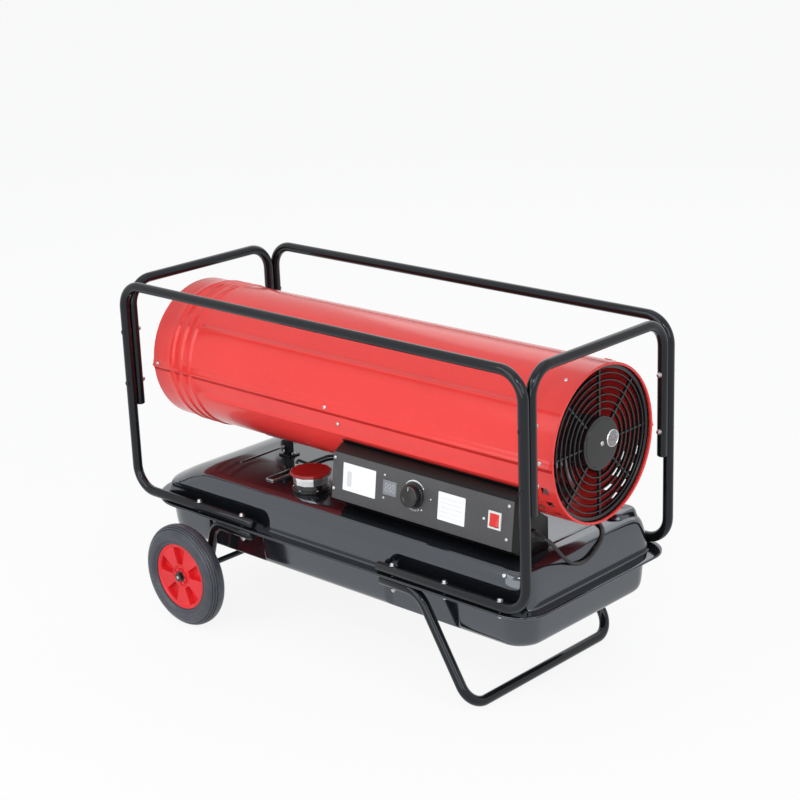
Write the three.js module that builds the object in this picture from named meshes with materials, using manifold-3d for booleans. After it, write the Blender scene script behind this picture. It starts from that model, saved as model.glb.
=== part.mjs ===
// Forced air heater on a wheeled tube frame: fuel tank below, burner cylinder above.
// Millimetres, +Z up. +X is the air intake end, -Y is the control panel side.
// The origin is the middle of the footprint on the floor.
import * as THREE from "three";
import { mergeVertices } from "three/addons/utils/BufferGeometryUtils.js";
import Module from "manifold-3d";

const wasm = await Module();
wasm.setup();

// ---------------------------------------------------------------- driving dimensions
const GAP = 0.3;                 // clearance between pieces that touch
const RUNNING_GAP = 0.08;        // radial clearance of a shaft turning in a hole
const SHEET = 2;                 // pressed sheet thickness
const TUBE_R = 10;               // frame tube radius

// frame
const LOOP_X = 525;              // upright tube centres, both ends
const LOOP_Y = 212.5;            // side frame plane
const LOOP_FOOT_Z = 232;         // foot bars of the side frames, lying on the tank flange
const FOOT_OUTLET_END_X = -174;
const FOOT_INLET_END_X = 170;
const FRAME_BEND_R = 50;
const HOOP_END_Z = 414;
const HOOP_BOLT_Z = [462, 572];
const FLANGE_BOLT_X = [-333, -206, 206, 335, 465];
const FRAME_BOLT_R = 3;
const LEG_BAR_X = 390;           // floor bar of the support leg
const LEG_BAR_Z = TUBE_R - 0.8;  // the bar is pressed flat where it stands on the floor
const LEG_TOP_X = 271;           // where the leg bends down from the flange
const LEG_END_X = 178;
const CARRIER_TOP_X = -289;
const CARRIER_END_X = -180;

// wheels
const WHEEL_R = 107;
const WHEEL_X = -318;
const WHEEL_WIDTH = 38;
const WHEEL_OUTER_Y = 296;
const RIM_R = 69;
const AXLE_R = 6;
const HUB_SLEEVE_R = 15;
const SPOKES = 5;
const WHEEL_STEPS = 24;

// tank
const FLANGE_OUTLET_X = -519;
const FLANGE_INLET_X = 534;
const FLANGE_Y = 224;
const FLANGE_CORNER_R = 62;
const FLANGE_OUTLET_CORNER_R = 116;
const FLANGE_T = 2.2;
const FLANGE_TOP_Z = LOOP_FOOT_Z - TUBE_R - GAP;
const FLANGE_SPLIT_Z = FLANGE_TOP_Z - FLANGE_T - GAP / 2;
const FLANGE_BOTTOM_Z = FLANGE_SPLIT_Z - GAP / 2 - FLANGE_T;
const DECK_Z = 295;
const TANK_FLOOR_Z = 140;
const CAP_X = -100;
const CAP_Y = -117;
const CAP_R = 41;                // twelve-sided crown
const CAP_SKIRT_R = 36.5;
const NECK_R = 26;
const NECK_HEIGHT = 26;
const NECK_FLANGE_R = 38;
const NECK_COLLAR_R = 33;
const NECK_COLLAR_HEIGHT = 15;
const STRAINER_RIM_T = 1.5;

// burner cylinder
const AXIS_Z = 491;
const BODY_R = 148;
const BODY_OUTLET_X = -526;
const BODY_INLET_X = 535;
const BODY_INNER_R = BODY_R - SHEET;
const BODY_STEPS = 32;
const BODY_SEAT_R = BODY_INNER_R * Math.cos(Math.PI / BODY_STEPS) - GAP;
const LOOP_CLEARANCE = 34;       // from the cylinder up to the centre of the frame's top tubes
const LOOP_TOP_Z = AXIS_Z + BODY_R + LOOP_CLEARANCE;
const RIB_X = [-465, -438, -411];
const SEAM_LAP_R = BODY_R + GAP;
const CHAMBER_R = 108;
const CHAMBER_BURNER_X = 172;
const CHAMBER_OUTLET_X = -470;
const FAN_X = 290;
const FAN_TIP_GAP = 10;
const FAN_R = BODY_INNER_R - FAN_TIP_GAP;
const FAN_BLADES = 5;
const SHAFT_R = 6;
const MOTOR_R = 56;
const MOTOR_X0 = 338;
const MOTOR_X1 = 444;
const PUMP_R = 44;
const PUMP_X1 = 478;
const COVER_X1 = 504;
const GUARD_X0 = 519;
const GUARD_X1 = 528.5;
const GUARD_DISC_R = 50;
const GUARD_RING_COUNT = 6;
const GUARD_RING_PITCH = (BODY_R - 7 - GUARD_DISC_R) / (GUARD_RING_COUNT + 1);
const GUARD_SPOKES = 8;
const GAUGE_Y = 31;
const GAUGE_Z = AXIS_Z + 2;
const GAUGE_R = 17;
const SUPPORT_OUTLET_X = -285;
const SUPPORT_INLET_X = 300;
const SPIDER_OUTLET_X = -400;
const SPIDER_BURNER_X = 130;
const AIR_SLOTS = [[508.5, [-22, -35, -48, -60]], [480.5, [-28.5, -41.5, -54.5]]];  // x, degrees from the seam
const AIR_SLOT_SIZE = 16;

// control box: its front plate leans back, so it has its own plane
const PANEL_X0 = 15;
const PANEL_X1 = 461;
const PANEL_FOOT_Y = -175;
const PANEL_FOOT_Z = 322;
const PANEL_TOP_Y = -163;
const PANEL_TOP_Z = 413;
const PANEL_T = 1.5;
const PANEL_SCREWS = [[21, 81], [20, 20], [451, 82], [449, 20]];
const DISPLAY_U = 164.5;
const DISPLAY_V = 51;
const DISPLAY_W = 34;
const DISPLAY_H = 28;
const KNOB_U = 226;
const KNOB_V = 51;
const KNOB_R = 23.5;
const KNOB_DEPTH = 18;
const SWITCH_U = 420.5;
const SWITCH_V = 49;
const SWITCH_TILT = 8;           // degrees each side of level

// mains lead
const CORD_R = 3.5;
const COIL_X = 226;
const COIL_Y = 92;
const COIL_R = 42;
const COIL_PITCH = 7.8;
const COIL_TURNS = 2;            // turns in each of its two layers
const GLAND_Y = -114;
const GLAND_Z = 334;

// ---------------------------------------------------------------- materials
const paint = (color, roughness = 0.3, metalness = 0.1) =>
  new THREE.MeshStandardMaterial({ color, roughness, metalness });
const BLACK_PAINT = () => paint(0x141518, 0.25, 0.2);
const RED_PAINT = () => paint(0xd3211d, 0.25, 0.1);
const RUBBER = () => paint(0x1b1b1c, 0.85, 0);
const STEEL = () => paint(0x9fa3a6, 0.4, 0.9);
const CHROME = () => paint(0xd8dade, 0.12, 1);
const ALUMINIUM = () => paint(0xb4b7b9, 0.45, 0.9);
const BRASS = () => paint(0xb58a3c, 0.35, 0.9);
const BLACK_PLASTIC = () => paint(0x17181a, 0.5, 0);
const WHITE_PLASTIC = () => paint(0xe9e9e6, 0.4, 0);
const RED_PLASTIC = () => paint(0xd4201f, 0.35, 0);

// ---------------------------------------------------------------- solid helpers
function clean(geometry) {
  const bare = new THREE.BufferGeometry();
  bare.setAttribute("position", geometry.getAttribute("position").clone());
  if (geometry.index) bare.setIndex(geometry.index.clone());
  const merged = mergeVertices(bare, 1e-3);
  const p = merged.getAttribute("position");
  const kept = [];
  let volume = 0;
  const a = new THREE.Vector3();
  const b = new THREE.Vector3();
  const c = new THREE.Vector3();
  for (let i = 0; i < merged.index.count; i += 3) {
    const [u, v, w] = [merged.index.getX(i), merged.index.getX(i + 1), merged.index.getX(i + 2)];
    if (u === v || v === w || w === u) continue;
    kept.push(u, v, w);
    volume += a.fromBufferAttribute(p, u).dot(b.fromBufferAttribute(p, v).cross(c.fromBufferAttribute(p, w)));
  }
  if (volume < 0) kept.reverse();
  merged.setIndex(kept);
  return merged;
}

function solid(geometry) {
  const g = clean(geometry);
  return new wasm.Manifold(new wasm.Mesh({
    numProp: 3,
    vertProperties: new Float32Array(g.getAttribute("position").array),
    triVerts: new Uint32Array(g.index.array),
  }));
}

function toGeometry(body) {
  const mesh = body.getMesh();
  const positions = [];
  for (let i = 0; i < mesh.vertProperties.length; i += mesh.numProp) {
    positions.push(mesh.vertProperties[i], mesh.vertProperties[i + 1], mesh.vertProperties[i + 2]);
  }
  const g = new THREE.BufferGeometry();
  g.setAttribute("position", new THREE.Float32BufferAttribute(positions, 3));
  g.setIndex(Array.from(mesh.triVerts));
  return g;
}

const join = (first, ...others) => others.reduce((sum, item) => sum.add(item), first);
const cut = (first, ...others) => others.reduce((rest, item) => rest.subtract(item), first);

function block(x0, x1, y0, y1, z0, z1) {
  const g = new THREE.BoxGeometry(x1 - x0, y1 - y0, z1 - z0);
  g.translate((x0 + x1) / 2, (y0 + y1) / 2, (z0 + z1) / 2);
  return solid(g);
}

// turned piece about the X axis; the profile is a closed list of [x, r]
function turned(profile, steps, y = 0, z = AXIS_Z, phase = 0) {
  const points = profile.map(([x, r]) => new THREE.Vector2(r, x));
  const onAxis = profile[0][1] === 0 && profile[profile.length - 1][1] === 0;
  if (!onAxis) points.push(points[0].clone());
  const g = new THREE.LatheGeometry(points, steps);
  g.rotateY(phase);
  g.rotateZ(-Math.PI / 2);
  g.translate(0, y, z);
  return solid(g);
}

// turned piece about a vertical axis; the profile is a closed list of [r, z]
function turnedUp(profile, steps, x, y, z = 0) {
  const points = profile.map(([r, h]) => new THREE.Vector2(r, h));
  const onAxis = profile[0][0] === 0 && profile[profile.length - 1][0] === 0;
  if (!onAxis) points.push(points[0].clone());
  const g = new THREE.LatheGeometry(points, steps);
  g.rotateX(Math.PI / 2);
  g.translate(x, y, z);
  return solid(g);
}

// turned piece about the Y axis; the profile is a closed list of [y, r]
function turnedAcross(profile, steps, x, z, side = 1) {
  const points = profile.map(([y, r]) => new THREE.Vector2(r, y * side));
  const onAxis = profile[0][1] === 0 && profile[profile.length - 1][1] === 0;
  if (!onAxis) points.push(points[0].clone());
  const g = new THREE.LatheGeometry(points, steps);
  g.translate(x, 0, z);
  return solid(g);
}

// round bar between two points
function bar(from, to, radius, steps = 10) {
  const a = new THREE.Vector3(...from);
  const b = new THREE.Vector3(...to);
  const g = new THREE.CylinderGeometry(radius, radius, a.distanceTo(b), steps);
  g.applyQuaternion(new THREE.Quaternion().setFromUnitVectors(
    new THREE.Vector3(0, 1, 0), b.clone().sub(a).normalize()));
  g.translate((a.x + b.x) / 2, (a.y + b.y) / 2, (a.z + b.z) / 2);
  return solid(g);
}

// flat outline in Y and Z, drawn out along X
function alongX(outline, x0, x1) {
  const shape = new THREE.Shape(outline.map(([y, z]) => new THREE.Vector2(y, z)));
  const g = new THREE.ExtrudeGeometry(shape, { depth: x1 - x0, bevelEnabled: false });
  g.applyMatrix4(new THREE.Matrix4().makeBasis(
    new THREE.Vector3(0, 1, 0), new THREE.Vector3(0, 0, 1), new THREE.Vector3(1, 0, 0)));
  g.translate(x0, 0, 0);
  return solid(g);
}

// stack of rounded rectangles joined into one body
// level = [z, x0, x1, half y, corner radius, corner radius at the x0 end where that differs]
function stacked(levels, cornerSteps = 3) {
  const rings = levels.map(([z, x0, x1, y, r, r0 = r]) => {
    const ring = [];
    const corners = [[x1 - r, y - r, 0, r], [x0 + r0, y - r0, 90, r0],
      [x0 + r0, r0 - y, 180, r0], [x1 - r, r - y, 270, r]];
    for (const [cx, cy, start, radius] of corners) {
      for (let i = 0; i <= cornerSteps; i += 1) {
        const t = THREE.MathUtils.degToRad(start + 90 * i / cornerSteps);
        ring.push([cx + radius * Math.cos(t), cy + radius * Math.sin(t), z]);
      }
    }
    return ring;
  });
  const n = rings[0].length;
  const positions = rings.flat(2);
  const index = [];
  for (let k = 0; k + 1 < rings.length; k += 1) {
    for (let i = 0; i < n; i += 1) {
      const [p, q] = [k * n + i, k * n + (i + 1) % n];
      index.push(p, q, q + n, p, q + n, p + n);
    }
  }
  const top = (rings.length - 1) * n;
  for (let i = 1; i + 1 < n; i += 1) {
    index.push(0, i + 1, i);
    index.push(top, top + i, top + i + 1);
  }
  const g = new THREE.BufferGeometry();
  g.setAttribute("position", new THREE.Float32BufferAttribute(positions, 3));
  g.setIndex(index);
  return solid(g);
}

// route through given points, each ring of a swept tube sitting on one of them
class Route extends THREE.Curve {
  constructor(points) {
    super();
    this.points = points;
  }
  getPoint(t) {
    const at = t * (this.points.length - 1);
    const i = Math.min(Math.floor(at), this.points.length - 2);
    return this.points[i].clone().lerp(this.points[i + 1], at - i);
  }
  getPointAt(t) {
    return this.getPoint(t);
  }
  getSpacedPoints() {
    return this.points.map((p) => p.clone());
  }
  getTangentAt(t) {
    const i = Math.round(t * (this.points.length - 1));
    const before = this.points[Math.max(i - 1, 0)];
    const here = this.points[i];
    const after = this.points[Math.min(i + 1, this.points.length - 1)];
    const into = here.clone().sub(before).normalize();
    const out = after.clone().sub(here).normalize();
    return into.add(out).normalize();
  }
}

// corner points turned into a path with round bends
function bentPath(corners, radius, steps = 4) {
  const pts = corners.map((c) => new THREE.Vector3(...c));
  const path = [pts[0]];
  for (let i = 1; i + 1 < pts.length; i += 1) {
    const into = pts[i].clone().sub(pts[i - 1]).normalize();
    const out = pts[i + 1].clone().sub(pts[i]).normalize();
    const turn = into.angleTo(out);
    const r = Array.isArray(radius) ? radius[i - 1] : radius;
    const reach = r * Math.tan(turn / 2);
    const start = pts[i].clone().addScaledVector(into, -reach);
    const inward = out.clone().addScaledVector(into, -into.dot(out)).normalize();
    const centre = start.clone().addScaledVector(inward, r);
    for (let k = 0; k <= steps; k += 1) {
      const a = turn * k / steps;
      path.push(centre.clone()
        .addScaledVector(inward, -r * Math.cos(a))
        .addScaledVector(into, r * Math.sin(a)));
    }
  }
  path.push(pts[pts.length - 1]);
  return path;
}

// round tube swept through a list of points; frame tubes have their flats at the nominal radius
function swept(points, radius, sides = 8, flatsOut = false) {
  const section = new THREE.Shape();
  const cornerR = flatsOut ? radius / Math.cos(Math.PI / sides) : radius;
  for (let i = 0; i < sides; i += 1) {
    const a = 2 * Math.PI * (i + 0.5) / sides;
    const [x, y] = [cornerR * Math.cos(a), cornerR * Math.sin(a)];
    if (i === 0) section.moveTo(x, y);
    else section.lineTo(x, y);
  }
  section.closePath();
  const g = new THREE.ExtrudeGeometry(section, {
    steps: points.length - 1, bevelEnabled: false, extrudePath: new Route(points),
  });
  return solid(g);
}

// sector of a ring across the burner cylinder, drawn out along X; degrees from +Y towards +Z
function ringSector(r0, r1, from, to, steps, x0, x1, y = 0, z = AXIS_Z) {
  const outline = [];
  for (let i = 0; i <= steps; i += 1) {
    const a = THREE.MathUtils.degToRad(from + (to - from) * i / steps);
    outline.push([y + r1 * Math.cos(a), z + r1 * Math.sin(a)]);
  }
  for (let i = steps; i >= 0; i -= 1) {
    const a = THREE.MathUtils.degToRad(from + (to - from) * i / steps);
    outline.push([y + r0 * Math.cos(a), z + r0 * Math.sin(a)]);
  }
  return alongX(outline, x0, x1);
}

// ---------------------------------------------------------------- assembly
const group = new THREE.Group();
group.name = "forced_air_heater";

function part(name, body, material) {
  const mesh = new THREE.Mesh(toGeometry(body), material);
  mesh.name = name;
  group.add(mesh);
}

const SIDES = [["near", -1], ["far", 1]];

// ---------------------------------------------------------------- frame
const frameTube = (path) => swept(path, TUBE_R, 8, true);

function sideFrame(side) {
  const y = side * LOOP_Y;
  const path = bentPath([
    [FOOT_OUTLET_END_X, y, LOOP_FOOT_Z], [-LOOP_X, y, LOOP_FOOT_Z],
    [-LOOP_X, y, LOOP_TOP_Z], [LOOP_X, y, LOOP_TOP_Z],
    [LOOP_X, y, LOOP_FOOT_Z], [FOOT_INLET_END_X, y, LOOP_FOOT_Z],
  ], FRAME_BEND_R);
  const holes = FLANGE_BOLT_X.map((x) =>
    bar([x, y, LOOP_FOOT_Z - 15], [x, y, LOOP_FOOT_Z + 15], FRAME_BOLT_R + GAP, 6));
  return cut(frameTube(path), ...holes, ...hoopBoltHoles(-1), ...hoopBoltHoles(1));
}

function hoopBoltHoles(end) {
  return HOOP_BOLT_Z.flatMap((z) => SIDES.map(([, side]) =>
    bar([end * LOOP_X, side * (LOOP_Y - 35), z], [end * LOOP_X, side * (LOOP_Y + 15), z], FRAME_BOLT_R + GAP, 6)));
}

function endHoop(end) {
  const y = LOOP_Y - 2 * TUBE_R - GAP;
  const x = end * LOOP_X;
  const path = bentPath([
    [x, -y, HOOP_END_Z], [x, -y, LOOP_TOP_Z], [x, y, LOOP_TOP_Z], [x, y, HOOP_END_Z],
  ], FRAME_BEND_R);
  return cut(frameTube(path), ...hoopBoltHoles(end));
}

const UNDER_FLANGE_Z = FLANGE_BOTTOM_Z - GAP - TUBE_R;

function flangeBoltHole(x, side, z) {
  return bar([x, side * LOOP_Y, z - 15], [x, side * LOOP_Y, z + 15], FRAME_BOLT_R + GAP, 6);
}

function supportLeg() {
  const path = bentPath([
    [LEG_END_X, -LOOP_Y, UNDER_FLANGE_Z], [LEG_TOP_X, -LOOP_Y, UNDER_FLANGE_Z],
    [LEG_BAR_X, -LOOP_Y, LEG_BAR_Z], [LEG_BAR_X, LOOP_Y, LEG_BAR_Z],
    [LEG_TOP_X, LOOP_Y, UNDER_FLANGE_Z], [LEG_END_X, LOOP_Y, UNDER_FLANGE_Z],
  ], [FRAME_BEND_R, 42, 42, FRAME_BEND_R]);
  return cut(frameTube(path), block(0, 500, -300, 300, -50, 0),
    ...SIDES.map(([, side]) => flangeBoltHole(FLANGE_BOLT_X[2], side, UNDER_FLANGE_Z)));
}

function axleCarrier(side) {
  const y = side * LOOP_Y;
  const path = bentPath([
    [CARRIER_END_X, y, UNDER_FLANGE_Z], [CARRIER_TOP_X, y, UNDER_FLANGE_Z],
    [WHEEL_X - 3.5, y, WHEEL_R - 14],
  ], 36);
  const axleHole = bar([WHEEL_X, y - 15, WHEEL_R], [WHEEL_X, y + 15, WHEEL_R], AXLE_R + GAP, 12);
  return cut(frameTube(path), flangeBoltHole(FLANGE_BOLT_X[1], side, UNDER_FLANGE_Z), axleHole);
}

function axle() {
  const reach = WHEEL_OUTER_Y - 6;
  return bar([WHEEL_X, -reach, WHEEL_R], [WHEEL_X, reach, WHEEL_R], AXLE_R, 12);
}

// ---------------------------------------------------------------- wheels
function tyre(side) {
  const inner = WHEEL_OUTER_Y - WHEEL_WIDTH;
  const mid = WHEEL_OUTER_Y - WHEEL_WIDTH / 2;
  const seat = RIM_R + GAP;
  return turnedAcross([
    [inner + 5, seat], [inner, RIM_R + 10], [inner, WHEEL_R - 14], [inner + 5, WHEEL_R - 4],
    [inner + 12, WHEEL_R], [WHEEL_OUTER_Y - 12, WHEEL_R], [WHEEL_OUTER_Y - 5, WHEEL_R - 4],
    [WHEEL_OUTER_Y, WHEEL_R - 14], [WHEEL_OUTER_Y, RIM_R + 10], [WHEEL_OUTER_Y - 5, seat],
    [mid, seat],
  ], WHEEL_STEPS, WHEEL_X, WHEEL_R, side);
}

function wheelHub(side) {
  const outer = WHEEL_OUTER_Y - 5;
  const inner = outer - WHEEL_WIDTH + 10;
  const webY = outer - 13;
  const sleeveInner = LOOP_Y + TUBE_R + GAP;
  const bore = AXLE_R + RUNNING_GAP;
  let hub = turnedAcross([
    [inner, RIM_R - 5], [inner, RIM_R], [outer, RIM_R], [outer, RIM_R - 5],
    [webY + 3, RIM_R - 9], [webY + 3, HUB_SLEEVE_R + 4], [outer - 4, HUB_SLEEVE_R], [outer - 4, bore],
    [sleeveInner, bore], [sleeveInner, HUB_SLEEVE_R - 3], [webY - 3, HUB_SLEEVE_R + 2],
    [webY - 3, RIM_R - 9],
  ], WHEEL_STEPS, WHEEL_X, WHEEL_R, side);
  for (let i = 0; i < SPOKES; i += 1) {
    const spoke = new THREE.BoxGeometry(13, 11, RIM_R - HUB_SLEEVE_R - 4);
    spoke.translate(0, side * (webY + 4.5), (RIM_R + HUB_SLEEVE_R) / 2);
    spoke.rotateY(2 * Math.PI * i / SPOKES);
    spoke.translate(WHEEL_X, 0, WHEEL_R);
    hub = hub.add(solid(spoke));
  }
  return hub;
}

function hubNut(side) {
  const face = WHEEL_OUTER_Y - 9 + GAP;
  return turnedAcross([
    [face, 0], [face, 11], [face + 6, 11], [face + 10, 8], [face + 12, 0],
  ], 12, WHEEL_X, WHEEL_R, side).subtract(
    bar([WHEEL_X, side * (face - 1), WHEEL_R], [WHEEL_X, side * (WHEEL_OUTER_Y - 6 + GAP), WHEEL_R],
      AXLE_R + GAP, 12));
}

// ---------------------------------------------------------------- tank
const upperLevels = (inset) => [
  [FLANGE_SPLIT_Z - (inset ? 5 : -GAP / 2), -490 + inset, 509 - inset, 200 - inset, 44, 70],
  [FLANGE_TOP_Z + 1, -490 + inset, 509 - inset, 200 - inset, 44, 70],
  [252, -478 + inset, 506 - inset, 197 - inset, 44, 70],
  [270, -446 + inset, 503 - inset, 194 - inset, 44, 70],
  [283 - inset * 0.5, -418 + inset, 499 - inset, 189 - inset, 44, 66],
  [291 - inset, -392 + inset, 489 - inset, 180 - inset, 44, 62],
  [DECK_Z - inset, -362 + inset, 473 - inset, 164 - inset, 42, 50],
];

const lowerLevels = (inset) => [
  [TANK_FLOOR_Z + inset, -468 + inset, 485 - inset, 174 - inset, 42, 74],
  [TANK_FLOOR_Z + 5 + inset * 0.7, -478 + inset, 496 - inset, 184 - inset, 46, 80],
  [TANK_FLOOR_Z + 16, -485 + inset, 502 - inset, 191 - inset, 48, 84],
  [FLANGE_BOTTOM_Z, -490 + inset, 506 - inset, 196 - inset, 50, 84],
  [FLANGE_SPLIT_Z + (inset ? 5 : -GAP / 2), -490 + inset, 506 - inset, 196 - inset, 50, 84],
];

// raised pad pressed into the far intake corner of the deck
const PAD_Y = 147;
const deckPad = (inset) => stacked([
  [284, 436 + inset, 484 - inset, 37 - inset, 20],
  [299 - inset, 438 + inset, 480 - inset, 35 - inset, 19],
  [304 - inset, 446 + inset, 472 - inset, 27 - inset, 13 - inset],
], 2).translate([0, PAD_Y, 0]);

const flangePlate = (z0, z1) => stacked([
  [z0, FLANGE_OUTLET_X, FLANGE_INLET_X, FLANGE_Y, FLANGE_CORNER_R, FLANGE_OUTLET_CORNER_R],
  [z1, FLANGE_OUTLET_X, FLANGE_INLET_X, FLANGE_Y, FLANGE_CORNER_R, FLANGE_OUTLET_CORNER_R],
]);

// pressed-in pockets that leave room for the foot bars, the leg and the axle carriers
const UPPER_POCKETS = [[-560, -143], [186, 560]];
const LOWER_POCKETS = [[-322, -168], [166, 348]];
const POCKET_Y = 181;

function pockets(list, z0, z1, wall) {
  return list.flatMap(([x0, x1]) => SIDES.map(([, side]) => {
    const inner = side * (POCKET_Y - wall);
    const outer = side * 240;
    return block(x0 - wall, x1 + wall, Math.min(inner, outer), Math.max(inner, outer), z0, z1);
  }));
}

function tankUpperShell() {
  const outer = join(cut(stacked(upperLevels(0)), ...pockets(UPPER_POCKETS, FLANGE_SPLIT_Z - 9, 254, 0)),
    flangePlate(FLANGE_SPLIT_Z + GAP / 2, FLANGE_TOP_Z), deckPad(0));
  const inner = cut(join(stacked(upperLevels(SHEET)), deckPad(SHEET)),
    ...pockets(UPPER_POCKETS, FLANGE_SPLIT_Z - 9, 254 + SHEET, SHEET));
  const holes = FLANGE_BOLT_X.flatMap((x) => SIDES.map(([, side]) => flangeBoltHole(x, side, FLANGE_TOP_Z)));
  const fillHole = bar([CAP_X, CAP_Y, DECK_Z - 9], [CAP_X, CAP_Y, DECK_Z + 9], NECK_R + GAP, 20);
  const pickupHole = bar([PICKUP_X, PICKUP_Y, DECK_Z - 9], [PICKUP_X, PICKUP_Y, DECK_Z + 9], 4 + GAP, 8);
  return cut(outer, inner, ...holes, fillHole, pickupHole);
}

function tankLowerShell() {
  const outer = join(cut(stacked(lowerLevels(0)), ...pockets(LOWER_POCKETS, 120, FLANGE_BOTTOM_Z + 0.1, 0)),
    flangePlate(FLANGE_BOTTOM_Z, FLANGE_SPLIT_Z - GAP / 2));
  const inner = cut(stacked(lowerLevels(SHEET)),
    ...pockets(LOWER_POCKETS, 120, FLANGE_SPLIT_Z + 9, SHEET));
  const holes = FLANGE_BOLT_X.flatMap((x) =>
    SIDES.map(([, side]) => flangeBoltHole(x, side, FLANGE_BOTTOM_Z)));
  const drainHole = bar([DRAIN_X, 0, TANK_FLOOR_Z - 9], [DRAIN_X, 0, TANK_FLOOR_Z + 9], DRAIN_R + GAP, 12);
  return cut(outer, inner, ...holes, drainHole);
}

const DRAIN_X = 60;
const DRAIN_R = 7;
function drainPlug() {
  return turnedUp([
    [0, TANK_FLOOR_Z - 11], [11, TANK_FLOOR_Z - 11], [11, TANK_FLOOR_Z - GAP],
    [DRAIN_R, TANK_FLOOR_Z - GAP], [DRAIN_R, TANK_FLOOR_Z + 6], [0, TANK_FLOOR_Z + 6],
  ], 6, DRAIN_X, 0);
}

const NECK_BASE_Z = DECK_Z + GAP;
function fillerNeck() {
  return turnedUp([
    [NECK_R, DECK_Z - 8], [NECK_R, NECK_BASE_Z], [NECK_FLANGE_R, NECK_BASE_Z], [NECK_FLANGE_R, NECK_BASE_Z + 6],
    [NECK_COLLAR_R, NECK_BASE_Z + 7], [NECK_COLLAR_R, NECK_BASE_Z + NECK_COLLAR_HEIGHT],
    [NECK_R + 2, NECK_BASE_Z + NECK_COLLAR_HEIGHT], [NECK_R + 2, NECK_BASE_Z + NECK_HEIGHT],
    [NECK_R - 3, NECK_BASE_Z + NECK_HEIGHT], [NECK_R - 3, DECK_Z - 8],
  ], 20, CAP_X, CAP_Y);
}

function fuelStrainer() {
  const lip = NECK_BASE_Z + NECK_HEIGHT + GAP;
  const r = NECK_R - 3 - GAP;
  return turnedUp([
    [0, 236], [r, 236], [r, lip], [NECK_R + 1, lip], [NECK_R + 1, lip + STRAINER_RIM_T],
    [r - 1.5, lip + STRAINER_RIM_T],
    [r - 1.5, 237.5], [0, 237.5],
  ], 16, CAP_X, CAP_Y);
}

const CAP_BASE_Z = NECK_BASE_Z + NECK_COLLAR_HEIGHT + 1;
const CAP_TOP_Z = NECK_BASE_Z + NECK_HEIGHT + 11;
const GASKET_Z = NECK_BASE_Z + NECK_HEIGHT + GAP + STRAINER_RIM_T + GAP;
const NECK_STEPS = 20;
function fuelCap() {
  // the bore's flats clear the neck's corners as the cap turns
  const bore = (NECK_R + 2 + GAP) / Math.cos(Math.PI / NECK_STEPS);
  const skirt = turnedUp([
    [0, CAP_BASE_Z], [CAP_SKIRT_R - 1.5, CAP_BASE_Z], [CAP_SKIRT_R, CAP_TOP_Z - 4], [0, CAP_TOP_Z - 4],
  ], 12, CAP_X, CAP_Y);
  const inside = turnedUp([
    [0, CAP_BASE_Z - 5], [bore, CAP_BASE_Z - 5], [bore, GASKET_Z + 2 + GAP], [0, GASKET_Z + 2 + GAP],
  ], NECK_STEPS, CAP_X, CAP_Y);
  return cut(skirt, inside);
}

// sealing disc that rests on the strainer rim, under the cap
function capGasket() {
  return turnedUp([
    [0, GASKET_Z], [NECK_R + 1, GASKET_Z], [NECK_R + 1, GASKET_Z + 2], [0, GASKET_Z + 2],
  ], 20, CAP_X, CAP_Y);
}

function fuelCapTop() {
  const base = CAP_TOP_Z - 4 + GAP;
  return turnedUp([
    [0, base], [CAP_R, base], [CAP_R, CAP_TOP_Z + 1], [CAP_R - 4, CAP_TOP_Z + 4], [0, CAP_TOP_Z + 3],
  ], 12, CAP_X, CAP_Y);
}

const PICKUP_X = -205;
const PICKUP_Y = -56;
// suction pipe hanging from a long cover plate on the deck
function fuelPickup() {
  const pipe = turnedUp([
    [0, 151], [7, 151], [7, 177], [3, 179], [3, DECK_Z - 5], [4, DECK_Z - 5], [4, DECK_Z + GAP + 1],
    [5, DECK_Z + GAP + 1], [5, DECK_Z + 9], [0, DECK_Z + 9],
  ], 8, PICKUP_X, PICKUP_Y);
  const plate = block(PICKUP_X - 10, PICKUP_X + 12, PICKUP_Y - 80, PICKUP_Y + 12, DECK_Z + GAP, DECK_Z + GAP + 3);
  return join(plate, pipe);
}

const HOSE_R = 3;
const HOSE_ENTRY_X = 224;
function fuelHose() {
  const low = DECK_Z + GAP + HOSE_R + 0.5;
  const start = DECK_Z + 9 + GAP;
  const path = bentPath([
    [PICKUP_X, PICKUP_Y, start], [PICKUP_X, PICKUP_Y, start + 13], [PICKUP_X, PICKUP_Y + 32, low],
    [PICKUP_X, 52, low], [120, -30, low], [HOSE_ENTRY_X, -30, low],
    [HOSE_ENTRY_X, 0, AXIS_Z - BODY_R - 14], [HOSE_ENTRY_X, 0, AXIS_Z - NOZZLE_BODY_R - GAP],
  ], [6, 12, 20, 20, 18, 14], 3);
  return swept(path, HOSE_R, 6);
}

// ---------------------------------------------------------------- burner cylinder
const halfSpace = (z0, z1) => block(BODY_OUTLET_X - 70, BODY_INLET_X + 70, -BODY_R - 50, BODY_R + 50, z0, z1);

function bodyTube() {
  const ribs = RIB_X.flatMap((x) => [[x - 8, BODY_R], [x, BODY_R + 2.4], [x + 8, BODY_R]]);
  return turned([
    [BODY_OUTLET_X, BODY_R - 2], [BODY_OUTLET_X + 2, BODY_R], ...ribs,
    [BODY_INLET_X - 2, BODY_R], [BODY_INLET_X, BODY_R - 2], [BODY_INLET_X, BODY_R - 6],
    [BODY_INLET_X - 3.5, BODY_R - 6], [BODY_INLET_X - 3.5, BODY_INNER_R],
    [BODY_OUTLET_X + 3, BODY_INNER_R], [BODY_OUTLET_X + 3, BODY_R - 5], [BODY_OUTLET_X, BODY_R - 5],
  ], BODY_STEPS);
}

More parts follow.
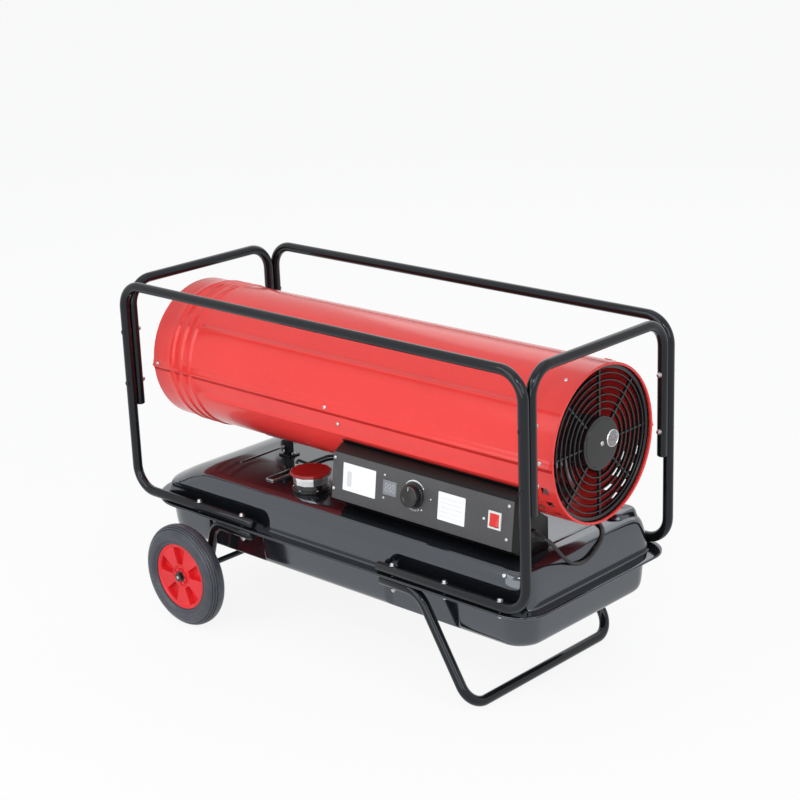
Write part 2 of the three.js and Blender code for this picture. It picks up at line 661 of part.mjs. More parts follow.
// pressed bead running along the cylinder, degrees above the side seam
function bead(angle, x0, x1) {
  return SIDES.map(([, side]) => {
    const a = THREE.MathUtils.degToRad(angle);
    const g = new THREE.CylinderGeometry(4, 4, x1 - x0, 6);
    g.rotateZ(Math.PI / 2);
    g.translate((x0 + x1) / 2, side * (BODY_R - 2.2) * Math.cos(a), AXIS_Z + (BODY_R - 2.2) * Math.sin(a));
    return solid(g);
  });
}

const clearBore = () => turned([
  [BODY_OUTLET_X + 3, 0], [BODY_OUTLET_X + 3, BODY_INNER_R],
  [BODY_INLET_X - 3.5, BODY_INNER_R], [BODY_INLET_X - 3.5, 0],
], BODY_STEPS);

function bodyUpperShell() {
  const shell = join(bodyTube(), ...bead(37, -400, 480)).subtract(clearBore());
  return shell.intersect(halfSpace(AXIS_Z + GAP / 2, AXIS_Z + BODY_R + 50));
}

function bodyLowerShell() {
  let shell = join(bodyTube(), ...bead(-20, -390, 480)).subtract(clearBore());
  shell = shell.intersect(halfSpace(AXIS_Z - BODY_R - 50, AXIS_Z - GAP / 2));
  for (const [, side] of SIDES) {
    const at = (angle) => (side > 0 ? angle : 180 - angle);
    for (const [x0, x1] of [[BODY_OUTLET_X + 3, RIB_X[0] - 12], [RIB_X[2] + 12, BODY_INLET_X - 4]]) {
      const foot = ringSector(BODY_R - 1, SEAM_LAP_R + 1.4, at(-3.5), at(-0.15), 2, x0, x1);
      const lap = ringSector(SEAM_LAP_R, SEAM_LAP_R + 1.4, at(-1.5), at(3.5), 3, x0, x1);
      shell = join(shell, foot, lap);
    }
    for (const [x, angles] of AIR_SLOTS) {
      for (const angle of angles) {
        const a = THREE.MathUtils.degToRad(angle);
        const slot = new THREE.BoxGeometry(AIR_SLOT_SIZE, 12, AIR_SLOT_SIZE);
        slot.rotateX(side * a);
        slot.translate(x, side * BODY_R * Math.cos(a), AXIS_Z + BODY_R * Math.sin(a));
        shell = shell.subtract(solid(slot));
      }
    }
  }
  const hoseHole = bar([HOSE_ENTRY_X, 0, AXIS_Z - BODY_R - 9], [HOSE_ENTRY_X, 0, AXIS_Z - BODY_R + 9],
    HOSE_R + 2, 8);
  return shell.subtract(hoseHole);
}

// post standing on the deck with a cradle pad that follows the cylinder
function bodySupport(x) {
  const top = AXIS_Z - BODY_R;
  const pad = ringSector(BODY_R + 0.8, BODY_R + 3.8, 254, 286, 4, x - 22, x + 22);
  const post = block(x - 7, x + 7, -7, 7, DECK_Z + GAP, top - 1.5);
  const foot = block(x - 18, x + 18, -16, 16, DECK_Z + GAP, DECK_Z + GAP + 3);
  return join(pad, post, foot);
}

function combustionChamber() {
  const neck = 48;
  return turned([
    [CHAMBER_BURNER_X, neck], [CHAMBER_BURNER_X, CHAMBER_R], [CHAMBER_OUTLET_X, CHAMBER_R],
    [CHAMBER_OUTLET_X, CHAMBER_R - SHEET], [CHAMBER_BURNER_X - SHEET, CHAMBER_R - SHEET],
    [CHAMBER_BURNER_X - SHEET, neck],
  ], 24);
}

// tapered ring on the chamber mouth with a disc that spreads the hot air
function outletCone() {
  const r = CHAMBER_R + GAP;
  const tip = CHAMBER_OUTLET_X - 42;
  const mouth = CHAMBER_R - 18;
  const discR = 48;
  const ring = turned([
    [CHAMBER_OUTLET_X + 20, r], [CHAMBER_OUTLET_X + 20, r + SHEET], [CHAMBER_OUTLET_X - 4, r + SHEET],
    [tip, mouth], [tip, mouth - SHEET], [CHAMBER_OUTLET_X - 0.5, r],
  ], 24);
  const disc = turned([[tip + 6, 0], [tip + 6, discR], [tip + 8, discR], [tip + 8, 0]], 16);
  const armStart = discR - 8;
  const armEnd = mouth + 2;
  const arms = [90, 210, 330].map((deg) => {
    const arm = new THREE.BoxGeometry(2, 10, armEnd - armStart);
    arm.translate(tip + 7, 0, (armStart + armEnd) / 2);
    arm.rotateX(THREE.MathUtils.degToRad(deg - 90));
    arm.translate(0, 0, AXIS_Z);
    return solid(arm);
  });
  return join(ring, disc, ...arms);
}

// ring round the chamber with arms that reach the outer shell
function chamberSpider(x, start) {
  const r = CHAMBER_R + GAP;
  const ring = turned([[x - 9, r], [x - 9, r + SHEET], [x + 9, r + SHEET], [x + 9, r]], 24);
  const reach = BODY_SEAT_R;
  const arms = [0, 120, 240].map((deg) => {
    const arm = new THREE.BoxGeometry(16, 14, reach - r - 0.8);
    arm.translate(x, 0, (reach + r + 0.8) / 2);
    arm.rotateX(THREE.MathUtils.degToRad(deg + start));
    arm.translate(0, 0, AXIS_Z);
    return solid(arm);
  });
  return join(ring, ...arms);
}

const NOZZLE_BODY_R = 9;
function burnerHead() {
  const face = CHAMBER_BURNER_X + GAP;
  const bore = 7 + GAP;
  let head = turned([
    [face, 10], [face, 54], [face + 2.5, 54], [face + 2.5, 18], [face + 26, 14], [face + 26, bore],
    [face - 6, bore], [face - 6, 10],
  ], 16);
  for (let i = 0; i < 8; i += 1) {
    const slot = new THREE.BoxGeometry(12, 5, 20);
    slot.translate(face, 0, 34);
    slot.rotateX(2 * Math.PI * (i + 0.5) / 8);
    slot.translate(0, 0, AXIS_Z);
    head = head.subtract(solid(slot));
  }
  const plugHole = bar([face - 8, 0, AXIS_Z + 22], [face + 8, 0, AXIS_Z + 22], 5 + GAP, 8);
  const sensorHole = bar([face - 8, 0, AXIS_Z - 24], [face + 8, 0, AXIS_Z - 24], 5 + GAP, 8);
  return cut(head, plugHole, sensorHole);
}

function fuelNozzle() {
  return turned([
    [158, 0], [162, 5], [172, 7], [198.6, 7], [198.6, NOZZLE_BODY_R], [238, NOZZLE_BODY_R], [238, 0],
  ], 12);
}

function sparkPlug() {
  return turned([
    [140, 0], [140, 1.5], [162, 1.5], [164, 5], [200, 5], [200, 3], [208, 3], [208, 0],
  ], 8, 0, AXIS_Z + 22);
}

function flameSensor() {
  return turned([
    [166, 0], [166, 5], [190, 5], [194, 3], [204, 3], [204, 0],
  ], 8, 0, AXIS_Z - 24);
}

// ---------------------------------------------------------------- fan, motor and pump
function fanWheel() {
  let fan = turned([
    [FAN_X - 16, SHAFT_R + GAP], [FAN_X - 16, 26], [FAN_X - 8, 32], [FAN_X + 16, 32],
    [FAN_X + 16, SHAFT_R + GAP],
  ], 20);
  for (let i = 0; i < FAN_BLADES; i += 1) {
    fan = fan.add(fanBlade(2 * Math.PI * i / FAN_BLADES));
  }
  return fan;
}

// blade twisted from steep at the hub to flat at the tip
function fanBlade(turn) {
  const stations = [
    [28, 26, 50], [FAN_R - 74, 40, 38], [FAN_R - 36, 54, 30], [FAN_R - 8, 56, 25], [FAN_R, 44, 23],
  ];
  const positions = [];
  for (const [r, chord, pitch] of stations) {
    const a = THREE.MathUtils.degToRad(pitch);
    for (const [c, t] of [[-0.5, -0.6], [0.5, -0.6], [0.5, 0.6], [-0.5, 0.6]]) {
      const along = c * chord * Math.cos(a) - t * 2 * Math.sin(a);
      const axial = c * chord * Math.sin(a) + t * 2 * Math.cos(a);
      const sweep = along / r;
      positions.push(FAN_X + axial, r * Math.sin(turn + sweep), r * Math.cos(turn + sweep));
    }
  }
  const index = [0, 2, 1, 0, 3, 2];
  const last = (stations.length - 1) * 4;
  index.push(last, last + 1, last + 2, last, last + 2, last + 3);
  for (let k = 0; k < last; k += 4) {
    for (let i = 0; i < 4; i += 1) {
      const [p, q] = [k + i, k + (i + 1) % 4];
      index.push(p, q, q + 4, p, q + 4, p + 4);
    }
  }
  const g = new THREE.BufferGeometry();
  g.setAttribute("position", new THREE.Float32BufferAttribute(positions, 3));
  g.setIndex(index);
  g.translate(0, 0, AXIS_Z);
  return solid(g);
}

function motorShaft() {
  return turned([
    [FAN_X - 22, 0], [FAN_X - 22, SHAFT_R - 1], [FAN_X - 20, SHAFT_R], [470, SHAFT_R], [470, 0],
  ], 16);
}

function fanMotor() {
  const bore = SHAFT_R + RUNNING_GAP;
  const mid = (MOTOR_X0 + MOTOR_X1) / 2;
  return turned([
    [MOTOR_X0 - 8, bore], [MOTOR_X0 - 8, 18], [MOTOR_X0, 20], [MOTOR_X0 + 2, 46], [MOTOR_X0 + 12, MOTOR_R],
    [mid - 26, MOTOR_R], [mid - 26, MOTOR_R - 3], [mid + 26, MOTOR_R - 3], [mid + 26, MOTOR_R],
    [MOTOR_X1 - 10, MOTOR_R], [MOTOR_X1, 48], [MOTOR_X1, bore],
  ], 20);
}

function motorCradle() {
  const x0 = MOTOR_X0 + 12;
  const x1 = MOTOR_X1 - 12;
  const frame = ringSector(MOTOR_R + GAP + 0.5, BODY_SEAT_R, 245, 295, 6, x0, x1);
  const r0 = MOTOR_R + 5;
  const r1 = BODY_INNER_R - 5;
  const window1 = ringSector(r0, r1, 249, 291, 6, x0 + 3, x1 - 3);
  const windowAcross = ringSector(r0 + 6, r1 - 6, 253, 287, 6, x0 - 9, x1 + 9);
  const through = ringSector(r0 + 6, r1 - 6, 235, 305, 6, x0 + 10, x1 - 10);
  return cut(frame, window1, windowAcross, through);
}

const PUMP_BORE_R = 32;
function pumpBody() {
  return cut(turned([
    [MOTOR_X1 + GAP, SHAFT_R + RUNNING_GAP], [MOTOR_X1 + GAP, PUMP_R], [PUMP_X1, PUMP_R],
    [PUMP_X1, PUMP_BORE_R], [MOTOR_X1 + 6, PUMP_BORE_R], [MOTOR_X1 + 6, SHAFT_R + RUNNING_GAP],
  ], 20));
}

function pumpRotor() {
  return turned([
    [MOTOR_X1 + 6.5, SHAFT_R + 0.02], [MOTOR_X1 + 6.5, PUMP_BORE_R - 1.5],
    [PUMP_X1 - 1, PUMP_BORE_R - 1.5], [PUMP_X1 - 1, SHAFT_R + 0.02],
  ], 16);
}

function pumpCover() {
  const base = PUMP_X1 + GAP;
  return turned([
    [base, 0], [base, PUMP_R + 2], [COVER_X1 - 4, PUMP_R + 2], [COVER_X1, PUMP_R - 3], [COVER_X1, 0],
  ], 20);
}

function airHose() {
  const r = BODY_SEAT_R - HOSE_R - 1;
  const at = (radius) => [radius * Math.SQRT1_2, AXIS_Z - radius * Math.SQRT1_2];
  const x = (MOTOR_X1 + PUMP_X1) / 2;
  const path = bentPath([
    [x, ...at(PUMP_R + GAP)], [x, ...at(r)], [HOSE_ENTRY_X + 8, ...at(r)],
    [HOSE_ENTRY_X + 8, ...at(NOZZLE_BODY_R + GAP)],
  ], 14, 3);
  return swept(path, HOSE_R, 6);
}

function pressureGauge() {
  const x0 = COVER_X1 + GAP;
  return turned([
    [x0, 0], [x0, 5], [516, 5], [516, GAUGE_R], [532, GAUGE_R], [532, GAUGE_R - 2],
    [529.5, GAUGE_R - 2], [529.5, 0],
  ], 20, GAUGE_Y, GAUGE_Z);
}

function gaugeNeedle() {
  const x0 = 529.5 + GAP;
  const a = THREE.MathUtils.degToRad(225);
  const tip = 12;
  const side = [-Math.sin(a) * 1, Math.cos(a) * 1];
  const along = [Math.cos(a), Math.sin(a)];
  const at = (s, w) => [GAUGE_Y + along[0] * s + side[0] * w, GAUGE_Z + along[1] * s + side[1] * w];
  const blade = alongX([at(-5, -1.2), at(tip, -0.5), at(tip, 0.5), at(-5, 1.2)], x0, x0 + 0.8);
  const boss = turned([[x0, 0], [x0, 2.5], [x0 + 1.5, 2.5], [x0 + 1.5, 0]], 8, GAUGE_Y, GAUGE_Z);
  return join(blade, boss);
}

function fanGuard() {
  const rimR = BODY_SEAT_R;
  const rim = turned([
    [GUARD_X0, rimR - 10], [GUARD_X0, rimR], [GUARD_X1, rimR], [GUARD_X1, rimR - 10],
  ], 24, 0, AXIS_Z, Math.PI / 24);
  const radii = Array.from({ length: GUARD_RING_COUNT }, (_, i) => GUARD_DISC_R + GUARD_RING_PITCH * (i + 1));
  const rings = radii.map((r) => turned([
    [GUARD_X0 + 2, r - 1.3], [GUARD_X0 + 2, r + 1.3], [GUARD_X1 - 1, r + 1.3], [GUARD_X1 - 1, r - 1.3],
  ], 20, 0, AXIS_Z, Math.PI / 20));
  const disc = turned([
    [GUARD_X0, 0], [GUARD_X0, GUARD_DISC_R], [GUARD_X1, GUARD_DISC_R], [GUARD_X1 + 1.5, 44],
    [GUARD_X1 + 1.5, 0],
  ], 24);
  const spokes = [];
  for (let i = 0; i < GUARD_SPOKES; i += 1) {
    const spoke = new THREE.BoxGeometry(5, 4, rimR - GUARD_DISC_R);
    spoke.translate(GUARD_X0 + 3.5, 0, (rimR + GUARD_DISC_R) / 2 - 3);
    spoke.rotateX(2 * Math.PI * i / GUARD_SPOKES);
    spoke.translate(0, 0, AXIS_Z);
    spokes.push(solid(spoke));
  }
  const gaugeHole = bar([GUARD_X0 - 5, GAUGE_Y, GAUGE_Z], [GUARD_X1 + 5, GAUGE_Y, GAUGE_Z], GAUGE_R + GAP + 0.5, 20);
  return join(disc, rim, ...rings, ...spokes).subtract(gaugeHole);
}

// ---------------------------------------------------------------- control box
const panelUp = new THREE.Vector3(0, PANEL_TOP_Y - PANEL_FOOT_Y, PANEL_TOP_Z - PANEL_FOOT_Z).normalize();
const panelOut = new THREE.Vector3(1, 0, 0).cross(panelUp);
const PANEL_H = Math.hypot(PANEL_TOP_Y - PANEL_FOOT_Y, PANEL_TOP_Z - PANEL_FOOT_Z);
const panelMatrix = new THREE.Matrix4()
  .makeBasis(new THREE.Vector3(1, 0, 0), panelUp, panelOut)
  .setPosition(0, PANEL_FOOT_Y, PANEL_FOOT_Z);

// box given on the panel: u along the panel, v up it, w out of it
function onPanel(u0, u1, v0, v1, w0, w1) {
  const g = new THREE.BoxGeometry(u1 - u0, v1 - v0, w1 - w0);
  g.translate((u0 + u1) / 2, (v0 + v1) / 2, (w0 + w1) / 2);
  g.applyMatrix4(panelMatrix);
  return solid(g);
}

// turned piece standing out of the panel; the profile is a closed list of [r, w]
function turnedOnPanel(profile, steps, u, v) {
  const points = profile.map(([r, w]) => new THREE.Vector2(r, w));
  const onAxis = profile[0][0] === 0 && profile[profile.length - 1][0] === 0;
  if (!onAxis) points.push(points[0].clone());
  const g = new THREE.LatheGeometry(points, steps);
  g.rotateX(Math.PI / 2);
  g.translate(u, v, 0);
  g.applyMatrix4(panelMatrix);
  return solid(g);
}

const panelPoint = (v, w) => {
  const p = new THREE.Vector3(0, v, w).applyMatrix4(panelMatrix);
  return [p.y, p.z];
};

function boxOutline(inset, front) {
  const clearR = BODY_R + 4 + inset;
  return [
    panelPoint(inset, front),
    panelPoint(PANEL_H - inset, front),
    [-139 + inset * 0.2, 426 - inset * 1.2],
    [-clearR * Math.sin(THREE.MathUtils.degToRad(119 + inset * 0.6)),
      AXIS_Z + clearR * Math.cos(THREE.MathUtils.degToRad(119 + inset * 0.6))],
    [-clearR * 0.84, AXIS_Z - clearR * 0.5426],
    [-clearR * 0.7, AXIS_Z - clearR * 0.7141],
    [-68 - inset, AXIS_Z - Math.sqrt(clearR * clearR - (68 + inset) ** 2)],
    [-68 - inset, DECK_Z + GAP + inset],
    [-138, DECK_Z + GAP + inset],
  ];
}

function controlBox() {
  const shell = alongX(boxOutline(0, -PANEL_T - GAP), PANEL_X0 + 0.5, PANEL_X1 - 0.5);
  const hollow = alongX(boxOutline(SHEET, 4), PANEL_X0 + 0.5 + SHEET, PANEL_X1 - 0.5 - SHEET);
  const glandHole = bar([PANEL_X1 - 9, GLAND_Y, GLAND_Z], [PANEL_X1 + 9, GLAND_Y, GLAND_Z], 8 + GAP, 12);
  return cut(shell, hollow, glandHole);
}

function controlPanel() {
  const plate = onPanel(PANEL_X0, PANEL_X1, 0, PANEL_H, -PANEL_T, 0);
  const hole = (r, u, v, steps) => turnedOnPanel([[0, -9], [r, -9], [r, 9], [0, 9]], steps, u, v);
  return cut(plate,
    onPanel(DISPLAY_U - DISPLAY_W / 2 - GAP, DISPLAY_U + DISPLAY_W / 2 + GAP,
      DISPLAY_V - DISPLAY_H / 2 - GAP, DISPLAY_V + DISPLAY_H / 2 + GAP, -9, 9),
    onPanel(SWITCH_U - 13 - GAP, SWITCH_U + 13 + GAP, SWITCH_V - 14.5 - GAP, SWITCH_V + 14.5 + GAP, -9, 9),
    hole(6, KNOB_U, KNOB_V, 12),
    ...PANEL_SCREWS.map(([u, v]) => hole(2, u, v, 6)));
}

function thermostat() {
  const back = -PANEL_T - GAP;
  const body = onPanel(KNOB_U - 19, KNOB_U + 19, KNOB_V - 19, KNOB_V + 19, back - 28, back);
  return body.subtract(turnedOnPanel([[0, back - 10], [4 + GAP, back - 10], [4 + GAP, 4], [0, 4]], 12,
    KNOB_U, KNOB_V));
}

function thermostatKnob() {
  const dial = turnedOnPanel([
    [0, -PANEL_T - GAP - 8], [4, -PANEL_T - GAP - 8], [4, 0.6], [KNOB_R, 0.6], [KNOB_R, 4],
    [KNOB_R - 2.5, KNOB_DEPTH - 2], [KNOB_R - 4.5, KNOB_DEPTH], [0, KNOB_DEPTH],
  ], 24, KNOB_U, KNOB_V);
  const mark = onPanel(KNOB_U - 1.2, KNOB_U + 1.2, KNOB_V + 4, KNOB_V + KNOB_R - 5,
    KNOB_DEPTH - 1, KNOB_DEPTH + 0.8);
  return dial.add(mark);
}

const ROCKER_HALF = 11.6;
function switchHousing() {
  const bezel = onPanel(SWITCH_U - 15, SWITCH_U + 15, SWITCH_V - 16.5, SWITCH_V + 16.5, GAP, 2.6);
  const body = onPanel(SWITCH_U - 13, SWITCH_U + 13, SWITCH_V - 14.5, SWITCH_V + 14.5, -22, GAP + 0.5);
  const well = onPanel(SWITCH_U - 10.8, SWITCH_U + 10.8, SWITCH_V - ROCKER_HALF - 1, SWITCH_V + ROCKER_HALF + 1,
    -13, 9);
  return join(bezel, body).subtract(well);
}

const ROCKER_PIVOT_W = -3;
function switchRocker() {
  const h = ROCKER_HALF;
  const outline = [[-h, -4], [-h, 3.6], [0, 2.2], [h, 3.6], [h, -4], [0, -8.5]];
  const shape = new THREE.Shape(outline.map(([v, w]) => new THREE.Vector2(v, w)));
  const g = new THREE.ExtrudeGeometry(shape, { depth: 20.4, bevelEnabled: false });
  g.applyMatrix4(new THREE.Matrix4().makeBasis(
    new THREE.Vector3(0, 1, 0), new THREE.Vector3(0, 0, 1), new THREE.Vector3(1, 0, 0)));
  g.translate(-10.2, 0, -ROCKER_PIVOT_W);
  g.rotateX(THREE.MathUtils.degToRad(-SWITCH_TILT));
  g.translate(SWITCH_U, SWITCH_V, ROCKER_PIVOT_W);
  g.applyMatrix4(panelMatrix);
  return solid(g);
}

function roomDisplay() {
  const [w, h] = [DISPLAY_W / 2, DISPLAY_H / 2];
  return onPanel(DISPLAY_U - w, DISPLAY_U + w, DISPLAY_V - h, DISPLAY_V + h, -9, 0.9);
}

function circuitBoard() {
  const board = onPanel(112, 204, 16, 84, -11.2, -9 - GAP);
  const parts = [[120, 22, 16], [150, 26, 12], [176, 60, 18]].map(([u, v, depth]) =>
    onPanel(u, u + 18, v, v + 16, -11 - depth, -11));
  return join(board, ...parts);
}

function ignitionTransformer() {
  const z0 = DECK_Z + GAP + SHEET + GAP;
  return join(block(52, 128, -134, -84, z0, z0 + 40), block(44, 136, -126, -92, z0, z0 + 3));
}

// ---------------------------------------------------------------- mains lead
function cordGland() {
  const face = PANEL_X1 - 0.5 + GAP;
  return turned([
    [PANEL_X1 - 6, 0], [PANEL_X1 - 6, 8], [face, 8], [face, 12], [face + 5, 12], [face + 8, 8],
    [face + 26, 5], [face + 26, 0],
  ], 12, GLAND_Y, GLAND_Z);
}

const CORD_START_X = PANEL_X1 - 0.5 + GAP + 26 + GAP;
const COIL_LOW_Z = DECK_Z + GAP + CORD_R;
const COIL_HIGH_Z = COIL_LOW_Z + COIL_PITCH - 0.1;
const COIL_OUTER_R = COIL_R + COIL_PITCH * (COIL_TURNS - 0.25) / 2;

// flat spiral inwards, a climb of one layer in the half turn where it reverses, then outwards
function coilPath() {
  const steps = 24;
  const down = Math.round(COIL_TURNS * steps);
  const climb = steps / 2;
  const points = [];
  const at = (i, r, z) => {
    const a = -2 * Math.PI * i / steps;
    points.push(new THREE.Vector3(COIL_X + r * Math.sin(a), COIL_Y + r * Math.cos(a), z));
  };
  for (let i = 0; i <= down; i += 1) {
    at(i, COIL_OUTER_R - COIL_PITCH * i / steps, COIL_LOW_Z);
  }
  const inner = COIL_OUTER_R - COIL_PITCH * COIL_TURNS;
  for (let k = 1; k < climb; k += 1) {
    const dip = COIL_PITCH * Math.min(k, climb - k) / steps;
    at(down + k, inner - dip, COIL_LOW_Z + (COIL_HIGH_Z - COIL_LOW_Z) * k / climb);
  }
  for (let i = 0; i <= down; i += 1) {
    at(down + climb + i, inner + COIL_PITCH * i / steps, COIL_HIGH_Z);
  }
  const straight = (from, next) => from.clone().addScaledVector(from.clone().sub(next).normalize(), 2 * CORD_R);
  points.unshift(straight(points[0], points[1]));
  points.push(straight(points[points.length - 1], points[points.length - 2]));
  return points;
}

function leastSelfGap(points) {
  let least = Infinity;
  for (let i = 0; i < points.length; i += 1) {
    for (let j = i + 12; j < points.length; j += 1) {
      least = Math.min(least, points[i].distanceTo(points[j]) - 2 * CORD_R);
    }
  }
  return least;
}

function cordRun() {
  const coil = coilPath();
  const end = coil[0];
  const into = coil[1].clone().sub(coil[0]).normalize();
  const last = end.clone().addScaledVector(into, -GAP);
  const before = end.clone().addScaledVector(into, -22);
  const curve = new THREE.CatmullRomCurve3([
    new THREE.Vector3(CORD_START_X, GLAND_Y, GLAND_Z),
    new THREE.Vector3(CORD_START_X + 8, GLAND_Y, GLAND_Z),
    new THREE.Vector3(511, -84, 292),
    new THREE.Vector3(511, -58, 274),
    new THREE.Vector3(509.5, -31, 267.5),
    new THREE.Vector3(507.5, -8, 269.5),
    new THREE.Vector3(507, 8, 276),
    new THREE.Vector3(505.5, 24, 284.5),
    new THREE.Vector3(499, 42, 292.5),
    new THREE.Vector3(486, 60, 297),
    new THREE.Vector3(460, 80, COIL_LOW_Z + 0.6),
    new THREE.Vector3(410, 108, COIL_LOW_Z + 0.3),
    new THREE.Vector3(360, 130, COIL_LOW_Z + 0.3),
    new THREE.Vector3(300, 141, COIL_LOW_Z + 0.3),
    before,
    last,
  ], false, "centripetal");
  curve.arcLengthDivisions = 800;
  const points = curve.getSpacedPoints(36);
  points.splice(1, 0, new THREE.Vector3(CORD_START_X + 3, GLAND_Y, GLAND_Z));
  points.splice(points.length - 1, 0, last.clone().addScaledVector(into, -4));
  return [swept(points, CORD_R, 6), curve.getLength()];
}

function cordCoil() {
  return swept(coilPath(), CORD_R, 6);
}

// moulded plug lying on the deck, in line with the end of the coil
function cordPlug() {
  const coil = coilPath();
  const end = coil[coil.length - 1];
  const out = end.clone().sub(coil[coil.length - 2]).normalize();
  const x = new THREE.Vector3(out.x, out.y, 0).normalize();
  const y = new THREE.Vector3(-x.y, x.x, 0);
  const pieces = [];
  const lathe = (profile, steps, squash, offset = 0) => {
    const g = new THREE.LatheGeometry(profile.map(([s, r]) => new THREE.Vector2(r, s)), steps);
    g.scale(1, 1, squash);
    g.translate(offset, 0, 0);
    g.applyMatrix4(new THREE.Matrix4().makeBasis(y, x, new THREE.Vector3(0, 0, 1).negate()));
    g.translate(end.x + x.x * GAP, end.y + x.y * GAP, end.z);
    return solid(g);
  };
  pieces.push(lathe([[0, 0], [0, 4], [22, 6.5], [26, 15], [32, 18], [48, 18], [50, 17], [50, 0]], 12, 0.6));
  for (const side of [-9.5, 9.5]) {
    pieces.push(lathe([[48, 0], [48, 2.4], [68, 2.4], [69, 1.4], [69, 0]], 8, 1, side));
  }
  return join(...pieces);
}

// ---------------------------------------------------------------- build
for (const [name, side] of SIDES) part(`side_frame_${name}`, sideFrame(side), BLACK_PAINT());
part("outlet_hoop", endHoop(-1), BLACK_PAINT());
part("inlet_hoop", endHoop(1), BLACK_PAINT());
part("support_leg", supportLeg(), BLACK_PAINT());
for (const [name, side] of SIDES) part(`axle_carrier_${name}`, axleCarrier(side), BLACK_PAINT());
part("axle", axle(), STEEL());
for (const [name, side] of SIDES) {
  part(`tyre_${name}`, tyre(side), RUBBER());
  part(`wheel_hub_${name}`, wheelHub(side), RED_PLASTIC());
  part(`hub_nut_${name}`, hubNut(side), BLACK_PLASTIC());
}
part("tank_upper_shell", tankUpperShell(), BLACK_PAINT());
part("tank_lower_shell", tankLowerShell(), BLACK_PAINT());
part("drain_plug", drainPlug(), STEEL());
part("filler_neck", fillerNeck(), BLACK_PLASTIC());
part("fuel_strainer", fuelStrainer(), STEEL());
part("cap_gasket", capGasket(), RUBBER());
part("fuel_cap", fuelCap(), CHROME());
part("fuel_cap_top", fuelCapTop(), paint(0x8e1512, 0.35, 0));
part("fuel_pickup", fuelPickup(), BRASS());
part("fuel_hose", fuelHose(), BLACK_PLASTIC());
part("body_lower_shell", bodyLowerShell(), RED_PAINT());
part("body_upper_shell", bodyUpperShell(), RED_PAINT());
part("body_support_outlet", bodySupport(SUPPORT_OUTLET_X), BLACK_PAINT());
part("body_support_inlet", bodySupport(SUPPORT_INLET_X), BLACK_PAINT());
part("combustion_chamber", combustionChamber(), STEEL());
part("outlet_cone", outletCone(), STEEL());
part("chamber_spider_outlet", chamberSpider(SPIDER_OUTLET_X, 0), STEEL());
part("chamber_spider_burner", chamberSpider(SPIDER_BURNER_X, 60), STEEL());
part("burner_head", burnerHead(), STEEL());
part("fuel_nozzle", fuelNozzle(), BRASS());
part("spark_plug", sparkPlug(), WHITE_PLASTIC());
part("flame_sensor", flameSensor(), BLACK_PLASTIC());
part("fan", fanWheel(), ALUMINIUM());
part("motor_shaft", motorShaft(), STEEL());
part("fan_motor", fanMotor(), BLACK_PAINT());
part("motor_cradle", motorCradle(), STEEL());
part("pump_body", pumpBody(), ALUMINIUM());
part("pump_rotor", pumpRotor(), STEEL());
part("pump_cover", pumpCover(), BLACK_PLASTIC());
part("air_hose", airHose(), BLACK_PLASTIC());
part("pressure_gauge", pressureGauge(), CHROME());
part("gauge_needle", gaugeNeedle(), RED_PLASTIC());
part("fan_guard", fanGuard(), BLACK_PLASTIC());
part("control_box", controlBox(), BLACK_PAINT());
part("control_panel", controlPanel(), BLACK_PAINT());
part("thermostat", thermostat(), BLACK_PLASTIC());
part("thermostat_knob", thermostatKnob(), BLACK_PLASTIC());
part("switch_housing", switchHousing(), WHITE_PLASTIC());
part("switch_rocker", switchRocker(), RED_PLASTIC());
part("room_display", roomDisplay(), paint(0x6b7076, 0.3, 0));
part("circuit_board", circuitBoard(), paint(0x1e5a36, 0.5, 0));
part("ignition_transformer", ignitionTransformer(), BLACK_PLASTIC());
part("cord_gland", cordGland(), BLACK_PLASTIC());
const [runBody, runLength] = cordRun();
part("cord_run", runBody, RUBBER());
part("cord_coil", cordCoil(), RUBBER());
part("cord_plug", cordPlug(), BLACK_PLASTIC());
console.log("least gap of the coil to itself, mm:", leastSelfGap(coilPath()).toFixed(2),
  "length of the free run, mm:", runLength.toFixed(0),
  "length of the coil, mm:", new THREE.CatmullRomCurve3(coilPath()).getLength().toFixed(0));

export default group;
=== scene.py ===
"""Forced air heater on a wheeled tube frame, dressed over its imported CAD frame.

Sizes are millimetres, as in the part's source, and each mesh is turned into metres as it is made.
Only the camera, the lead's free run and the studio are written in metres.
+X is the air intake end, -Y is the side with the control panel, +Z is up.
"""

from math import copysign, cos, hypot, inf, pi, radians, sin, sqrt, tan

import bmesh
import bpy
from mathutils import Matrix, Vector


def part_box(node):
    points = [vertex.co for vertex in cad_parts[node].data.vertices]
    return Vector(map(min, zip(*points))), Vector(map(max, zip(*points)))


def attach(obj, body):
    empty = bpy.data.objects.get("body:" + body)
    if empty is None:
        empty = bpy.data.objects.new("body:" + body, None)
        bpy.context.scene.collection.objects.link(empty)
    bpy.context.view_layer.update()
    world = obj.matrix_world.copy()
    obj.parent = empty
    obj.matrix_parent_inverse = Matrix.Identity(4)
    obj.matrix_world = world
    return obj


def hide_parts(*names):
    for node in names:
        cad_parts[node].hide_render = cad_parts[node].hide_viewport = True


bl_info = {
    "name": "Forced Air Heater Dresser",
    "version": (1, 0, 0),
    "blender": (4, 5, 0),
    "location": "3D View > Sidebar > Heater",
    "description": "Builds the visible pieces of a wheeled forced air heater over its CAD frame",
    "category": "Object",
}

